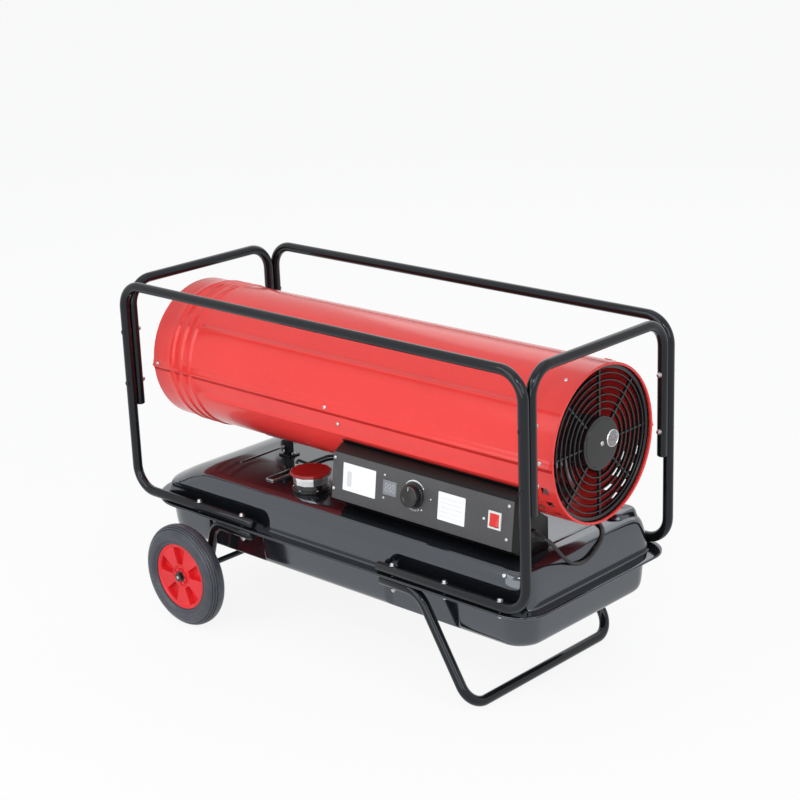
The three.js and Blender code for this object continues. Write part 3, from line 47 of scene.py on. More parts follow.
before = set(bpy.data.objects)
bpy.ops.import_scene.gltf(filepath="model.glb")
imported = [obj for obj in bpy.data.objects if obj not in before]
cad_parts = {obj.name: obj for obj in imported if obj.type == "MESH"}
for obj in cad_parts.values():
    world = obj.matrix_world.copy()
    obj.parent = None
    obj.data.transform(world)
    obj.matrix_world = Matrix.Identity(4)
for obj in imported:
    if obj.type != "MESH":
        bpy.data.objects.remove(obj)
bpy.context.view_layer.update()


def node_size(node, axis):
    """Size of a CAD node along one axis, in millimetres."""
    low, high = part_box(node)
    return (high[axis] - low[axis]) * 1000


# ---- sizes shared by several pieces
SIDES = (("near", -1), ("far", 1))

# tube frame: a loop on each side, a hoop at each end, the leg and the wheel carriers
TUBE_R = 10
TUBE_SIDES = 32
LOOP_X = 525
LOOP_Y = 212.5
LOOP_TOP_Z = 673
LOOP_FOOT_Z = 232
FRAME_BEND_R = 50
HOOP_LEG_Y = 192.2
HOOP_END_Z = 414
HOOP_BOLT_Z = (462, 572)
FLANGE_BOLT_X = (-333, -206, 206, 335, 465)
DOUBLED_BOLT_X = 206
UNDER_FLANGE_Z = 206.7
FOOT_BAR_END_X = (-174, 170)
LEG_END_X = 178
LEG_KNEE_X = 271
LEG_FOOT_X = 390
LEG_FOOT_Z = 9.2
LEG_FOOT_BEND_R = 42
CARRIER_END_X = -180
CARRIER_KNEE_X = -289
CARRIER_LOW_Z = 93
CARRIER_BEND_R = 36

# wheels and axle
WHEEL_X = -318
WHEEL_OUTER_Y = 296
WHEEL_WIDTH = 38
RIM_R = 69
AXLE_R = 6
AXLE_Z = 107
AXLE_COLLAR_Y = 196
TYRE_GROOVES = (39, 54, 69)
TYRE_GROOVE_DEPTH = 1.8
HUB_POCKETS = 5
POCKET_PHASE = radians(19.5)
POCKET_DEPTH = 12

# tank
FLANGE_TOP_Z = 221.7
FLANGE_SPLIT_Z = 219.35
FLANGE_BOTTOM_Z = 217.0
DECK_Z = 295
TANK_FLOOR_Z = 140
POCKET_Y = 181
CAP_X = -100
CAP_Y = -117
CAP_PHASE = radians(22.5)
PICKUP_X = -205
PICKUP_Y = -56
NECK_BASE_Z = 295.3

# burner cylinder and what is in it
AXIS_Z = 491
BODY_OUTLET_X = -526
BODY_INLET_X = 535
SHEET = 2
RIB_X = (-465, -438, -411)
AIR_SLOTS = ((508.5, (22, 35, 48, 60)), (480.5, (28.5, 41.5, 54.5)))
AIR_SLOT_HALF = 8
SLOT_HALF_ANGLE = 3.1
POSTS = (("outlet", -285), ("inlet", 300))
FAN_X = 290
MOTOR_X0 = 338
MOTOR_X1 = 444
GUARD_X0 = 519.0
GUARD_X1 = 528.5
GAUGE_SHIFT = (31, 2)

# control box: places on its panel are (along it, up it)
PANEL_X0 = 15
PANEL_X1 = 461
PANEL_H = 91.79
PANEL_FOOT = (-175, 322)
PANEL_UP = Vector((0, 0.13074, 0.99142))
PANEL_OUT = Vector((0, -0.99142, 0.13074))
DISPLAY_AT = (164.5, 51)
DIAL_AT = (226, 51)
SWITCH_AT = (420.5, 49)

# mains lead
CORD_R = 3.5
COIL_CENTRE = (226, 92)
COIL_PITCH = 7.8
COIL_OUTER_R = 48.825
COIL_LOW_Z = 298.8
COIL_HIGH_Z = 306.5
COIL_STEPS = 24


# ---- settings a user would change
class HeaterSizes(bpy.types.PropertyGroup):
    """Sizes of the visible pieces, in millimetres."""

    body_radius: bpy.props.FloatProperty(
        name="Cylinder radius", description="Outside radius of the red cylinder",
        default=148.0, min=100, max=200)
    wheel_radius: bpy.props.FloatProperty(
        name="Wheel radius", description="Outside radius of the tyres",
        default=round(node_size("tyre_near", 2) / 2, 1), min=80, max=140)
    cord_diameter: bpy.props.FloatProperty(
        name="Lead diameter", description="Diameter of the mains lead", default=7.0, min=5, max=10)
    rib_height: bpy.props.FloatProperty(
        name="Rib height", description="How far the ribs near the outlet stand out",
        default=3.0, min=0, max=5)
    bead_height: bpy.props.FloatProperty(
        name="Bead height", description="How far the long pressed beads stand out",
        default=3.4, min=0, max=5)
    bolt_head: bpy.props.FloatProperty(
        name="Bolt head width", description="Width across the corners of the frame bolts' heads",
        default=9.6, min=8, max=16)
    dial_span: bpy.props.FloatProperty(
        name="Dial scale", description="Angle that the gauge's scale covers", subtype="ANGLE",
        default=radians(270), min=radians(180), max=radians(300))


def colour_setting(name, description, default):
    """A colour that a user can change."""
    return bpy.props.FloatVectorProperty(name=name, description=description, subtype="COLOR",
                                         size=3, default=default, min=0, max=1)


class HeaterColours(bpy.types.PropertyGroup):
    """Colours of the finishes."""

    body_red: colour_setting("Cylinder red", "Gloss enamel of the cylinder", (0.78, 0.046, 0.041))
    frame_black: colour_setting("Frame black", "Gloss paint of the tube frame",
                                (0.006, 0.0062, 0.007))
    tank_black: colour_setting("Tank black", "Gloss paint of the tank", (0.009, 0.010, 0.013))
    panel_grey: colour_setting("Panel grey", "Fine textured paint of the control panel",
                               (0.055, 0.055, 0.058))
    tyre_grey: colour_setting("Tyre grey", "Rubber of the tyres", (0.036, 0.042, 0.055))
    hub_red: colour_setting("Hub red", "Moulded plastic of the wheel hubs", (0.72, 0.012, 0.018))
    cap_red: colour_setting("Cap red", "Plastic top of the fuel cap", (0.26, 0.008, 0.008))
    floor_pale: colour_setting("Floor", "Colour of the studio floor", (0.92, 0.92, 0.925))


def sizes():
    """The heater's size settings."""
    return bpy.context.scene.heater_sizes


def colours():
    """The heater's colour settings."""
    return bpy.context.scene.heater_colours


def added(name, data):
    """A new object in the scene."""
    piece = bpy.data.objects.new(name, data)
    bpy.context.scene.collection.objects.link(piece)
    return piece


# ---- finishes
def set_sockets(node, **values):
    """Sets values on a node's sockets; a name's underscores stand for spaces."""
    for socket, value in values.items():
        node.inputs[socket.replace("_", " ")].default_value = value
    return node


class Finish:
    """One procedural material, built up in layers from the same few kinds of grain."""

    def __init__(self, name, roughness=0.4, metallic=0.0, coat=0.0, coat_roughness=0.05, **sockets):
        self.material = bpy.data.materials.new(name)
        self.material.use_nodes = True
        self.nodes = self.material.node_tree.nodes
        self.links = self.material.node_tree.links
        self.shader = set_sockets(self.nodes["Principled BSDF"], Roughness=roughness,
                                  Metallic=metallic, Coat_Weight=coat,
                                  Coat_Roughness=coat_roughness, **sockets)
        self.place = self.layer("TexCoord").outputs["Object"]
        self.height = None

    def layer(self, kind, **sockets):
        """One node of a kind, with values on its sockets."""
        return set_sockets(self.nodes.new(f"ShaderNode{kind}"), **sockets)

    def grain(self, scale, detail=3.0, rough=0.5, stretch=None):
        """Noise of so many grains a metre, drawn out along one axis where stretch says so."""
        noise = self.layer("TexNoise", Scale=scale, Detail=detail, Roughness=rough)
        place = self.place
        if stretch:
            mapping = self.layer("Mapping", Scale=stretch)
            self.links.new(place, mapping.inputs["Vector"])
            place = mapping.outputs["Vector"]
        self.links.new(place, noise.inputs["Vector"])
        return noise.outputs["Fac"]

    def spots(self, scale):
        """Cells of so many a metre, for dimples and flakes."""
        cells = self.layer("TexVoronoi", Scale=scale)
        self.links.new(self.place, cells.inputs["Vector"])
        return cells.outputs["Distance"]

    def spread(self, value, low, high, to_low=0.0, to_high=1.0):
        """The part of a value between low and high, stretched to a new range."""
        node = self.layer("MapRange", From_Min=low, From_Max=high, To_Min=to_low, To_Max=to_high)
        self.links.new(value, node.inputs["Value"])
        return node.outputs["Result"]

    def between(self, factor, first, second):
        """Colour between two, by a factor; each is a colour or the output of another layer."""
        node = self.layer("Mix")
        node.data_type = "RGBA"
        self.links.new(factor, node.inputs[0])
        for socket, colour in ((node.inputs[6], first), (node.inputs[7], second)):
            if isinstance(colour, bpy.types.NodeSocket):
                self.links.new(colour, socket)
            else:
                socket.default_value = (*colour[:3], 1.0)
        return node.outputs[2]

    def coloured(self, colour, shade, scale):
        """Base colour that drifts between two shades, in so many drifts a metre."""
        self.colour = self.between(self.spread(self.grain(scale), 0.35, 0.65), colour, shade)
        return self

    def dusted(self, dust, amount=0.2, scale=35.0, low=0.52, high=0.75):
        """Dust, bloom or small marks of another colour over the base."""
        mask = self.spread(self.grain(scale, 5.0, 0.6), low, high, 0.0, amount)
        self.colour = self.between(mask, self.colour, dust)
        return self

    def rubbed(self, low, high, scale=40.0, stretch=None):
        """Roughness that wanders between two values, with handling and fine scratches."""
        wander = self.grain(scale, 6.0, 0.65, stretch)
        self.links.new(self.spread(wander, 0.3, 0.7, low, high), self.shader.inputs["Roughness"])
        return self

    def raised(self, value, depth, strength=1.0):
        """Relief of a given depth in millimetres, added to what is there."""
        bump = self.layer("Bump", Distance=depth / 1000, Strength=strength)
        self.links.new(value, bump.inputs["Height"])
        if self.height is not None:
            self.links.new(self.height, bump.inputs["Normal"])
        self.height = bump.outputs["Normal"]
        return self

    def done(self):
        """Joins the layers to the shader and gives the material."""
        self.links.new(self.colour, self.shader.inputs["Base Color"])
        if self.height is not None:
            self.links.new(self.height, self.shader.inputs["Normal"])
        return self.material


def shaded(colour, factor):
    """The same colour, lighter or darker."""
    return tuple(min(1.0, channel * factor) for channel in colour)


def enamel(name, colour, roughness, peel=0.03, drift=0.9, **sockets):
    """Stoved gloss paint over sheet steel: faint drifts of tone, orange peel and a little dust."""
    finish = Finish(name, roughness, **sockets)
    finish.coloured(colour, shaded(colour, drift), 4.0).dusted(shaded(colour, 1.35), 0.12, 60.0)
    finish.rubbed(roughness * 0.85, roughness * 1.25, 12.0)
    finish.raised(finish.grain(420.0, 2.0), peel, 0.3)
    return finish.raised(finish.grain(1400.0, 2.0), 0.01, 0.3).done()


def textured_paint(name, colour):
    """Fine textured powder paint, as on the control panel."""
    finish = Finish(name, 0.5)
    finish.coloured(colour, shaded(colour, 0.85), 9.0).dusted(shaded(colour, 1.7), 0.3, 300.0)
    finish.rubbed(0.42, 0.62, 60.0)
    return finish.raised(finish.spots(1400.0), 0.05, 0.5).done()


def moulded(name, colour, roughness=0.45, grain=0.04):
    """Moulded plastic with a faint spark-eroded grain and flow marks."""
    finish = Finish(name, roughness)
    finish.coloured(colour, shaded(colour, 0.86), 14.0).dusted(shaded(colour, 1.35), 0.2, 90.0)
    finish.rubbed(roughness * 0.8, roughness * 1.3, 50.0)
    finish.raised(finish.grain(60.0, 2.0), 0.15, 0.25)
    return finish.raised(finish.grain(2500.0, 2.0), grain, 0.5).done()


def rubber(name, colour, bloom, roughness=0.6):
    """Rubber with a pale bloom and a fine moulded grain."""
    finish = Finish(name, roughness)
    finish.coloured(colour, shaded(colour, 0.7), 12.0).dusted(bloom, 0.35, 25.0, 0.4, 0.8)
    finish.dusted(bloom, 0.25, 400.0)
    finish.rubbed(roughness * 0.85, min(1.0, roughness * 1.35), 30.0)
    return finish.raised(finish.grain(900.0, 4.0), 0.08, 0.6).done()


def plated(name, colour, roughness=0.3, stain=(0.2, 0.19, 0.17), amount=0.15):
    """Bare or plated metal with drawing lines, dull patches and small stains."""
    finish = Finish(name, roughness, 1.0)
    finish.coloured(colour, shaded(colour, 0.8), 30.0).dusted(stain, amount, 120.0)
    finish.rubbed(roughness * 0.7, roughness * 1.5, 120.0, (1.0, 6.0, 6.0))
    return finish.raised(finish.grain(500.0, 3.0, 0.5, (1.0, 8.0, 8.0)), 0.02, 0.4).done()


def heated_steel(name):
    """Steel that has run hot: bands of straw and blue tints, with soot in patches."""
    finish = Finish(name, 0.45, 0.9)
    bands = finish.spread(finish.grain(7.0, 3.0, 0.5, (1.5, 0.5, 0.5)), 0.3, 0.7)
    finish.colour = finish.between(bands, (0.32, 0.27, 0.20), (0.16, 0.17, 0.22))
    finish.dusted((0.03, 0.028, 0.026), 0.6, 12.0, 0.45, 0.7)
    finish.rubbed(0.35, 0.65, 30.0)
    return finish.raised(finish.grain(300.0, 4.0), 0.08, 0.5).done()


def printed(name, colour, roughness=0.3):
    """Smooth printed film or paper under varnish."""
    finish = Finish(name, roughness, 0.0, 0.3, 0.15)
    finish.coloured(colour, shaded(colour, 0.95), 20.0).dusted(shaded(colour, 0.88), 0.2, 150.0)
    finish.rubbed(roughness * 0.8, roughness * 1.4, 80.0)
    return finish.raised(finish.grain(700.0, 2.0), 0.02, 0.3).done()


def clear_lens(name, colour):
    """Clear or tinted plastic window with faint scuffs."""
    finish = Finish(name, 0.06, 0.0, Transmission_Weight=0.9, IOR=1.45)
    finish.coloured(colour, shaded(colour, 0.96), 20.0)
    finish.rubbed(0.03, 0.12, 90.0)
    return finish.raised(finish.grain(900.0, 2.0), 0.01, 0.2).done()


def circuit_lacquer(name):
    """Green lacquer of the circuit board, with copper tracks showing through as lighter lines."""
    finish = Finish(name, 0.3, 0.0, 0.3, 0.1)
    tracks = finish.layer("TexBrick", Scale=160.0, Mortar_Size=0.06)
    finish.links.new(finish.place, tracks.inputs["Vector"])
    finish.colour = finish.between(tracks.outputs["Fac"], (0.012, 0.10, 0.035), (0.05, 0.22, 0.08))
    finish.dusted((0.10, 0.20, 0.09), 0.3, 80.0)
    finish.rubbed(0.25, 0.45, 70.0)
    return finish.raised(tracks.outputs["Fac"], 0.05, 0.5).done()


FINISHES = {}
COOL_SHEEN = (0.84, 0.91, 1.0, 1.0)
ZINC = (0.62, 0.63, 0.64)


def finish_for(slot):
    """The material of one of the record's slots, made the first time it is asked for."""
    if slot not in FINISHES:
        FINISHES[slot] = make_finish(slot)
    return FINISHES[slot]


def make_finish(slot):
    """Makes a slot by its recipe: the kind of finish and what it is told, sockets last."""
    tint = colours()
    recipes = {
        "frame_paint": (enamel, tint.frame_black, 0.07, 0.015,
                        {"Specular_IOR_Level": 0.36, "Specular_Tint": COOL_SHEEN}),
        "tank_paint": (enamel, tint.tank_black, 0.10, 0.02,
                       {"IOR": 1.92, "Specular_Tint": COOL_SHEEN}),
        "box_paint": (enamel, (0.006, 0.0055, 0.006), 0.3, {"Specular_IOR_Level": 0.25}),
        "body_paint": (enamel, tint.body_red, 0.17, 0.03, 0.94, {"Specular_IOR_Level": 0.36}),
        "tyre_rubber": (rubber, tint.tyre_grey, (0.10, 0.11, 0.13), 0.36),
        "wheel_red": (moulded, tint.hub_red, 0.42),
        "nut_black": (moulded, (0.012, 0.012, 0.013), 0.3),
        "axle_steel": (plated, ZINC, 0.32),
        "drain_steel": (plated, (0.48, 0.47, 0.42), 0.4),
        "neck_black": (enamel, (0.008, 0.008, 0.009), 0.16),
        "strainer_steel": (plated, (0.55, 0.55, 0.54), 0.45),
        "gasket_rubber": (rubber, (0.015, 0.015, 0.015), (0.05, 0.05, 0.05), 0.7),
        "cap_chrome": (plated, (0.90, 0.91, 0.93), 0.30, (0.45, 0.46, 0.48), 0.1),
        "cap_red": (moulded, tint.cap_red, 0.32),
        "fuel_brass": (plated, (0.62, 0.43, 0.16), 0.3, (0.20, 0.12, 0.05), 0.3),
        "hose_black": (rubber, (0.014, 0.014, 0.015), (0.05, 0.05, 0.055), 0.5),
        "chamber_steel": (heated_steel,),
        # darker red for the strip under the cylinder's seam lip: painted shade of the lap's groove
        "seam_gap": (enamel, (0.50, 0.018, 0.014), 0.4, {"Specular_IOR_Level": 0.1}),
        "motor_paint": (enamel, (0.02, 0.021, 0.023), 0.35),
        "fan_aluminium": (plated, (0.55, 0.56, 0.57), 0.38, (0.15, 0.14, 0.13), 0.3),
        "pump_aluminium": (plated, (0.60, 0.61, 0.62), 0.42, (0.22, 0.21, 0.2), 0.2),
        "pump_plastic": (moulded, (0.02, 0.02, 0.021), 0.5),
        "gauge_chrome": (plated, (0.84, 0.85, 0.87), 0.14, (0.5, 0.5, 0.5), 0.1),
        "needle_red": (moulded, (0.6, 0.03, 0.02), 0.4),
        "guard_black": (enamel, (0.008, 0.0085, 0.010), 0.2, {"Specular_IOR_Level": 0.45}),
        "panel_paint": (textured_paint, tint.panel_grey),
        "knob_black": (moulded, (0.008, 0.008, 0.009), 0.18, 0.01),
        "control_plastic": (moulded, (0.03, 0.03, 0.032), 0.5),
        "switch_white": (moulded, (0.80, 0.80, 0.78), 0.35),
        "switch_red": (moulded, (0.75, 0.02, 0.015), 0.22, 0.02),
        "display_grey": (printed, (0.20, 0.21, 0.23), 0.2),
        "board_green": (circuit_lacquer,),
        "ceramic_white": (moulded, (0.82, 0.80, 0.76), 0.2, 0.02),
        "gland_black": (moulded, (0.016, 0.016, 0.017), 0.45),
        "cord_rubber": (rubber, (0.016, 0.016, 0.017), (0.06, 0.06, 0.065), 0.5),
        "plug_black": (rubber, (0.018, 0.018, 0.019), (0.07, 0.07, 0.07), 0.55),
        "label_white": (printed, (0.84, 0.85, 0.85), 0.28),
        "label_rule": (printed, (0.62, 0.63, 0.64), 0.3),
        "screw_zinc": (plated, ZINC, 0.28),
        "lens_clear": (clear_lens, (0.95, 0.97, 0.97)),
        # flat black: painted shade for the deck pad's slots and the box's vents, and the gauge's
        # printed ticks
        "dark_well": (moulded, (0.006, 0.006, 0.006), 0.7),
        "segment_pale": (printed, (0.42, 0.44, 0.46), 0.3),
    }
    if slot not in recipes:
        raise KeyError(f"no finish is written for slot {slot}")
    maker, *told = recipes[slot]
    sockets = told.pop() if told and isinstance(told[-1], dict) else {}
    return maker(slot, *told, **sockets)


# ---- placements
TURNED_OVER = Matrix.Rotation(pi, 4, "X")


def axes(first, second, third, origin):
    """Placement with three axes of its own at a point."""
    matrix = Matrix((first, second, third)).transposed().to_4x4()
    matrix.translation = Vector(origin)
    return matrix


def facing(origin, along, up=(0, 0, 1)):
    """Placement whose third axis points along a direction, its second as near up as it can be."""
    third = Vector(along).normalized()
    near_up = Vector(up)
    if abs(third.dot(near_up.normalized())) > 0.99:
        near_up = Vector((1, 0, 0))
    first = near_up.cross(third).normalized()
    return axes(first, third.cross(first), third, origin)


def on_panel(u, v, w=0.0):
    """Placement on the control panel: u along it, v up it, w out of it."""
    origin = Vector((u, *PANEL_FOOT)) + PANEL_UP * v + PANEL_OUT * w
    return axes(Vector((1, 0, 0)), PANEL_UP, PANEL_OUT, origin)


def at_body(x, angle, out=0.0):
    """Placement on the cylinder's skin, facing away from it; degrees from +Y towards +Z."""
    turn = radians(angle)
    away = Vector((0, cos(turn), sin(turn)))
    return facing(Vector((x, 0, AXIS_Z)) + away * (sizes().body_radius + out), away, (1, 0, 0))


def on_axis():
    """Placement on the cylinder's axis, facing the air intake, so that heights are the CAD's x."""
    return facing((0, 0, AXIS_Z), (1, 0, 0))


def at_wheel(side):
    """Placement on the axle, facing away from one side, so that heights are distances from y 0."""
    return facing((WHEEL_X, 0, sizes().wheel_radius), (0, side, 0))


def at(x, y, z):
    """Upright placement at a point."""
    return Matrix.Translation((x, y, z))


def moved(place, x, y, z):
    """A placement shifted along its own axes."""
    return place @ at(x, y, z)


def spun(place, angle):
    """A placement turned about its own third axis."""
    return place @ Matrix.Rotation(angle, 4, "Z")


def round_about(place, radius, angle, height):
    """A placement shifted to a point on a circle about its own third axis."""
    return moved(place, radius * cos(angle), radius * sin(angle), height)


# ---- shapes
def soft_corners(profile, radius, steps=3, closed=True):
    """A flat outline with each corner turned into an arc."""
    points = [Vector((p[0], p[1])) for p in profile]
    count = len(points)
    rounded = []
    for i, here in enumerate(points):
        if not closed and i in (0, count - 1):
            rounded.append(tuple(here))
            continue
        back = points[i - 1] - here
        ahead = points[(i + 1) % count] - here
        corner = profile[i][2] if len(profile[i]) > 2 else radius
        if corner <= 0 or back.length < 1e-6 or ahead.length < 1e-6:
            rounded.append(tuple(here))
            continue
        half = back.angle(ahead) / 2
        if half > radians(88):
            rounded.append(tuple(here))
            continue
        reach = min(corner / tan(half), 0.45 * back.length, 0.45 * ahead.length)
        start = here + back.normalized() * reach
        end = here + ahead.normalized() * reach
        for k in range(steps + 1):
            t = k / steps
            rounded.append(tuple(start.lerp(here, t).lerp(here.lerp(end, t), t)))
    return rounded


def round_rect(width, height, radius, steps=6):
    """Outline of a rounded rectangle about its own middle."""
    radius = max(0.01, min(radius, width / 2 - 0.01, height / 2 - 0.01))
    outline = []
    for cx, cy, start in ((1, 1, 0), (-1, 1, 90), (-1, -1, 180), (1, -1, 270)):
        for k in range(steps + 1):
            a = radians(start + 90 * k / steps)
            outline.append((cx * (width / 2 - radius) + radius * cos(a),
                            cy * (height / 2 - radius) + radius * sin(a)))
    return outline


def bent_path(corners, radii, steps=14):
    """Corner points turned into a path with round bends, of one radius or one for each corner."""
    points = [Vector(c) for c in corners]
    if not isinstance(radii, (list, tuple)):
        radii = [radii] * (len(points) - 2)
    path = [points[0]]
    for i, r in enumerate(radii, 1):
        into = (points[i] - points[i - 1]).normalized()
        out = (points[i + 1] - points[i]).normalized()
        turn = into.angle(out)
        start = points[i] - into * (r * tan(turn / 2))
        inward = (out - into * into.dot(out)).normalized()
        centre = start + inward * r
        for k in range(steps + 1):
            a = turn * k / steps
            path.append(centre - inward * r * cos(a) + into * r * sin(a))
    path.append(points[-1])
    return path


def full_circle(steps):
    """Angles of evenly spaced points round a circle."""
    return [2 * pi * k / steps for k in range(steps)]


def skin_place(radius, x, angle):
    """Point at a radius from the cylinder's axis; degrees from +Y towards +Z."""
    a = radians(angle)
    return Vector((x, radius * cos(a), AXIS_Z + radius * sin(a)))


def eased(value, low, high):
    """0 below low, 1 above high, with a smooth step between."""
    t = min(1.0, max(0.0, (value - low) / (high - low)))
    return t * t * (3 - 2 * t)


class Shape:
    """Points and faces of one piece, gathered in millimetres before they become a mesh."""

    DOME = ((0.92, 0.16), (0.72, 0.30), (0.36, 0.40))
    CELL_EDGES = (((-1, 0), (0, 0), (0, 1)), ((1, 0), (1, 1), (1, 0)),
                  ((0, -1), (1, 0), (0, 0)), ((0, 1), (0, 1), (1, 1)))

    def __init__(self):
        self.points = []
        self.faces = []
        self.marks = []
        self.mark = 0

    def point(self, place):
        self.points.append(Vector(place))
        return len(self.points) - 1

    def face(self, *ids):
        if len(set(ids)) > 2:
            self.faces.append(ids)
            self.marks.append(self.mark)

    def bridge(self, first, second):
        """Faces between two closed rings; a ring of one point is a pole."""
        count = max(len(first), len(second))
        for k in range(count):
            a, b = first[k % len(first)], first[(k + 1) % len(first)]
            c, d = second[(k + 1) % len(second)], second[k % len(second)]
            if len(first) == 1:
                self.face(a, c, d)
            elif len(second) == 1:
                self.face(a, b, c)
            else:
                self.face(a, b, c, d)

    def loft(self, rings, start=True, end=True):
        """Skin over a row of rings of points, closed at its ends."""
        ids = [[self.point(p) for p in ring] for ring in rings]
        for first, second in zip(ids, ids[1:]):
            self.bridge(first, second)
        if start and len(ids[0]) > 2:
            self.face(*reversed(ids[0]))
        if end and len(ids[-1]) > 2:
            self.face(*ids[-1])

    def turned(self, profile, place, steps=48, wave=None):
        """Turned piece about the placement's third axis; profile = (radius, height) points."""
        rings = []
        for radius, height in profile:
            if radius < 1e-6:
                rings.append([self.point(place @ Vector((0, 0, height)))])
                continue
            ring = []
            for a in full_circle(steps):
                r, h = wave(radius, height, a) if wave else (radius, height)
                ring.append(self.point(place @ Vector((r * cos(a), r * sin(a), h))))
            rings.append(ring)
        pairs = list(zip(rings, rings[1:]))
        if profile[0][0] > 1e-6 or profile[-1][0] > 1e-6:
            pairs.append((rings[-1], rings[0]))
        for first, second in pairs:
            self.bridge(first, second)

    def collar(self, place, inner, outer, low, high, soft, steps=32):
        """Round collar, washer or clip with softened corners."""
        section = [(inner, low), (outer, low), (outer, high), (inner, high)]
        self.turned(soft_corners(section, soft), place, steps)

    def slab(self, place, width, height, low, high, corner=2.0, edge=0.5, steps=5):
        """Rounded slab about the placement's origin."""
        levels = []
        for k in range(4):
            a = pi / 2 * k / 3
            levels.append((edge * (1 - sin(a)), low + edge * (1 - cos(a))))
        levels += [(by, high + low - z) for by, z in reversed(levels)]
        rings = []
        for by, z in levels:
            outline = round_rect(width - 2 * by, height - 2 * by, corner - by, steps)
            rings.append([place @ Vector((x, y, z)) for x, y in outline])
        self.loft(rings)

    def tube(self, path, radius, sides=24, domed=True, squash=1.0):
        """Round tube along a path, its ends closed by low domes."""
        points = [Vector(p) for p in path]
        tangents = [(after - before).normalized() for before, after in
                    zip(points[:1] + points[:-1], points[1:] + points[-1:])]
        side = Vector((0, 0, 1)).cross(tangents[0])
        if side.length < 0.1:
            side = Vector((1, 0, 0)).cross(tangents[0])
        side.normalize()
        turns = full_circle(sides)
        stations = []
        for here, along in zip(points, tangents):
            side = (side - along * side.dot(along)).normalized()
            stations.append((here, side.copy(), along.cross(side)))
        loops = [[here + side * radius * cos(a) + other * radius * squash * sin(a)
                  for a in turns] for here, side, other in stations]
        if domed:
            for end, sign in ((0, -1), (-1, 1)):
                here, side, other = stations[end]
                out = tangents[end] * sign
                caps = [[here + out * radius * lift
                         + (side * cos(a) + other * squash * sin(a)) * radius * share
                         for a in turns] for share, lift in self.DOME]
                loops = caps[::-1] + loops if end == 0 else loops + caps
        self.loft(loops)

    def sheet(self, across, along, outer, inner, open_cell=None):
        """Thin sheet between two surfaces over a grid, with real holes where open_cell says so."""
        columns, rows = len(across), len(along)
        top = [[self.point(outer(u, v)) for v in along] for u in across]
        under = [[self.point(inner(u, v)) for v in along] for u in across]

        def solid(i, j):
            if not (0 <= i < columns - 1 and 0 <= j < rows - 1):
                return False
            if open_cell is None:
                return True
            return not open_cell((across[i] + across[i + 1]) / 2, (along[j] + along[j + 1]) / 2)

        for i in range(columns - 1):
            for j in range(rows - 1):
                if not solid(i, j):
                    continue
                self.face(top[i][j], top[i + 1][j], top[i + 1][j + 1], top[i][j + 1])
                self.face(under[i][j], under[i][j + 1], under[i + 1][j + 1], under[i + 1][j])
                for (di, dj), (ai, aj), (bi, bj) in self.CELL_EDGES:
                    if not solid(i + di, j + dj):
                        self.face(top[i + ai][j + aj], top[i + bi][j + bj],
                                  under[i + bi][j + bj], under[i + ai][j + aj])

    def hexagon(self, place, across, low, high):
        """Six-sided head or nut with a turned chamfer on its outer face."""
        ring = []
        for k in range(6):
            a = pi / 3 * k
            ring.append((across / 2 * cos(a), across / 2 * sin(a)))
        levels = [(1.0, low), (1.0, high - 0.9), (0.93, high - 0.15), (0.80, high)]
        self.loft([[place @ Vector((x * s, y * s, z)) for x, y in ring] for s, z in levels])

    def pan_screw(self, place, radius, height):
        """Domed screw head with a cross cut in it."""
        self.turned([(0, 0), (radius, 0), (radius, height * 0.35), (radius * 0.86, height * 0.75),
                     (radius * 0.55, height), (radius * 0.5, height * 0.98),
                     (radius * 0.2, height * 0.45), (0, height * 0.4)], place, 20)
        for turn in (0, pi / 2):
            self.slab(spun(place, turn + 0.4), radius * 1.15, radius * 0.22,
                      height * 0.8, height * 1.02, 0.1, 0.02, 1)

    def into(self, name, *slots, crease=35.0):
        """The finished mesh object, with one material for each mark."""
        mesh = bpy.data.meshes.new(name)
        mesh.from_pydata([p / 1000 for p in self.points], [], self.faces)
        mesh.polygons.foreach_set("material_index", self.marks)
        solid = bmesh.new()
        solid.from_mesh(mesh)
        bmesh.ops.remove_doubles(solid, verts=solid.verts, dist=1e-6)
        bmesh.ops.recalc_face_normals(solid, faces=solid.faces)
        solid.to_mesh(mesh)
        solid.free()
        for slot in slots:
            mesh.materials.append(finish_for(slot))
        mesh.shade_smooth()
        mesh.set_sharp_from_angle(angle=radians(crease))
        return added(name, mesh)

    def fit(self, name, *finishes, node=None, body="heater", slot=None, crease=35.0):
        """Makes the mesh and fits it; the slot is the first finish where none is named."""
        nodes = (node,) if node else ()
        return fitted(self.into(name, *finishes, crease=crease), body, slot or finishes[0], *nodes)


def fitted(piece, body, slot, *nodes):
    """Puts a piece on its CAD body, in place of the CAD nodes that it stands for."""
    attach(piece, body)
    if nodes:
        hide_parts(*nodes)
    return piece


def repaint(node, slot):
    """Gives a carried-over CAD node its full finish."""
    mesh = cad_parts[node].data
    mesh.materials.clear()
    mesh.materials.append(finish_for(slot))


# ---- camera and lead
CAMERA_PLACE = (2.41805, -2.51420, 1.59452)
CAMERA_YAW = 0.7576
CAMERA_PITCH = 0.3122
CAMERA_ROLL = -0.0372
CAMERA_LENS = 83.81
SENSOR_WIDTH = 36.0
FAR_CLIP = 200.0


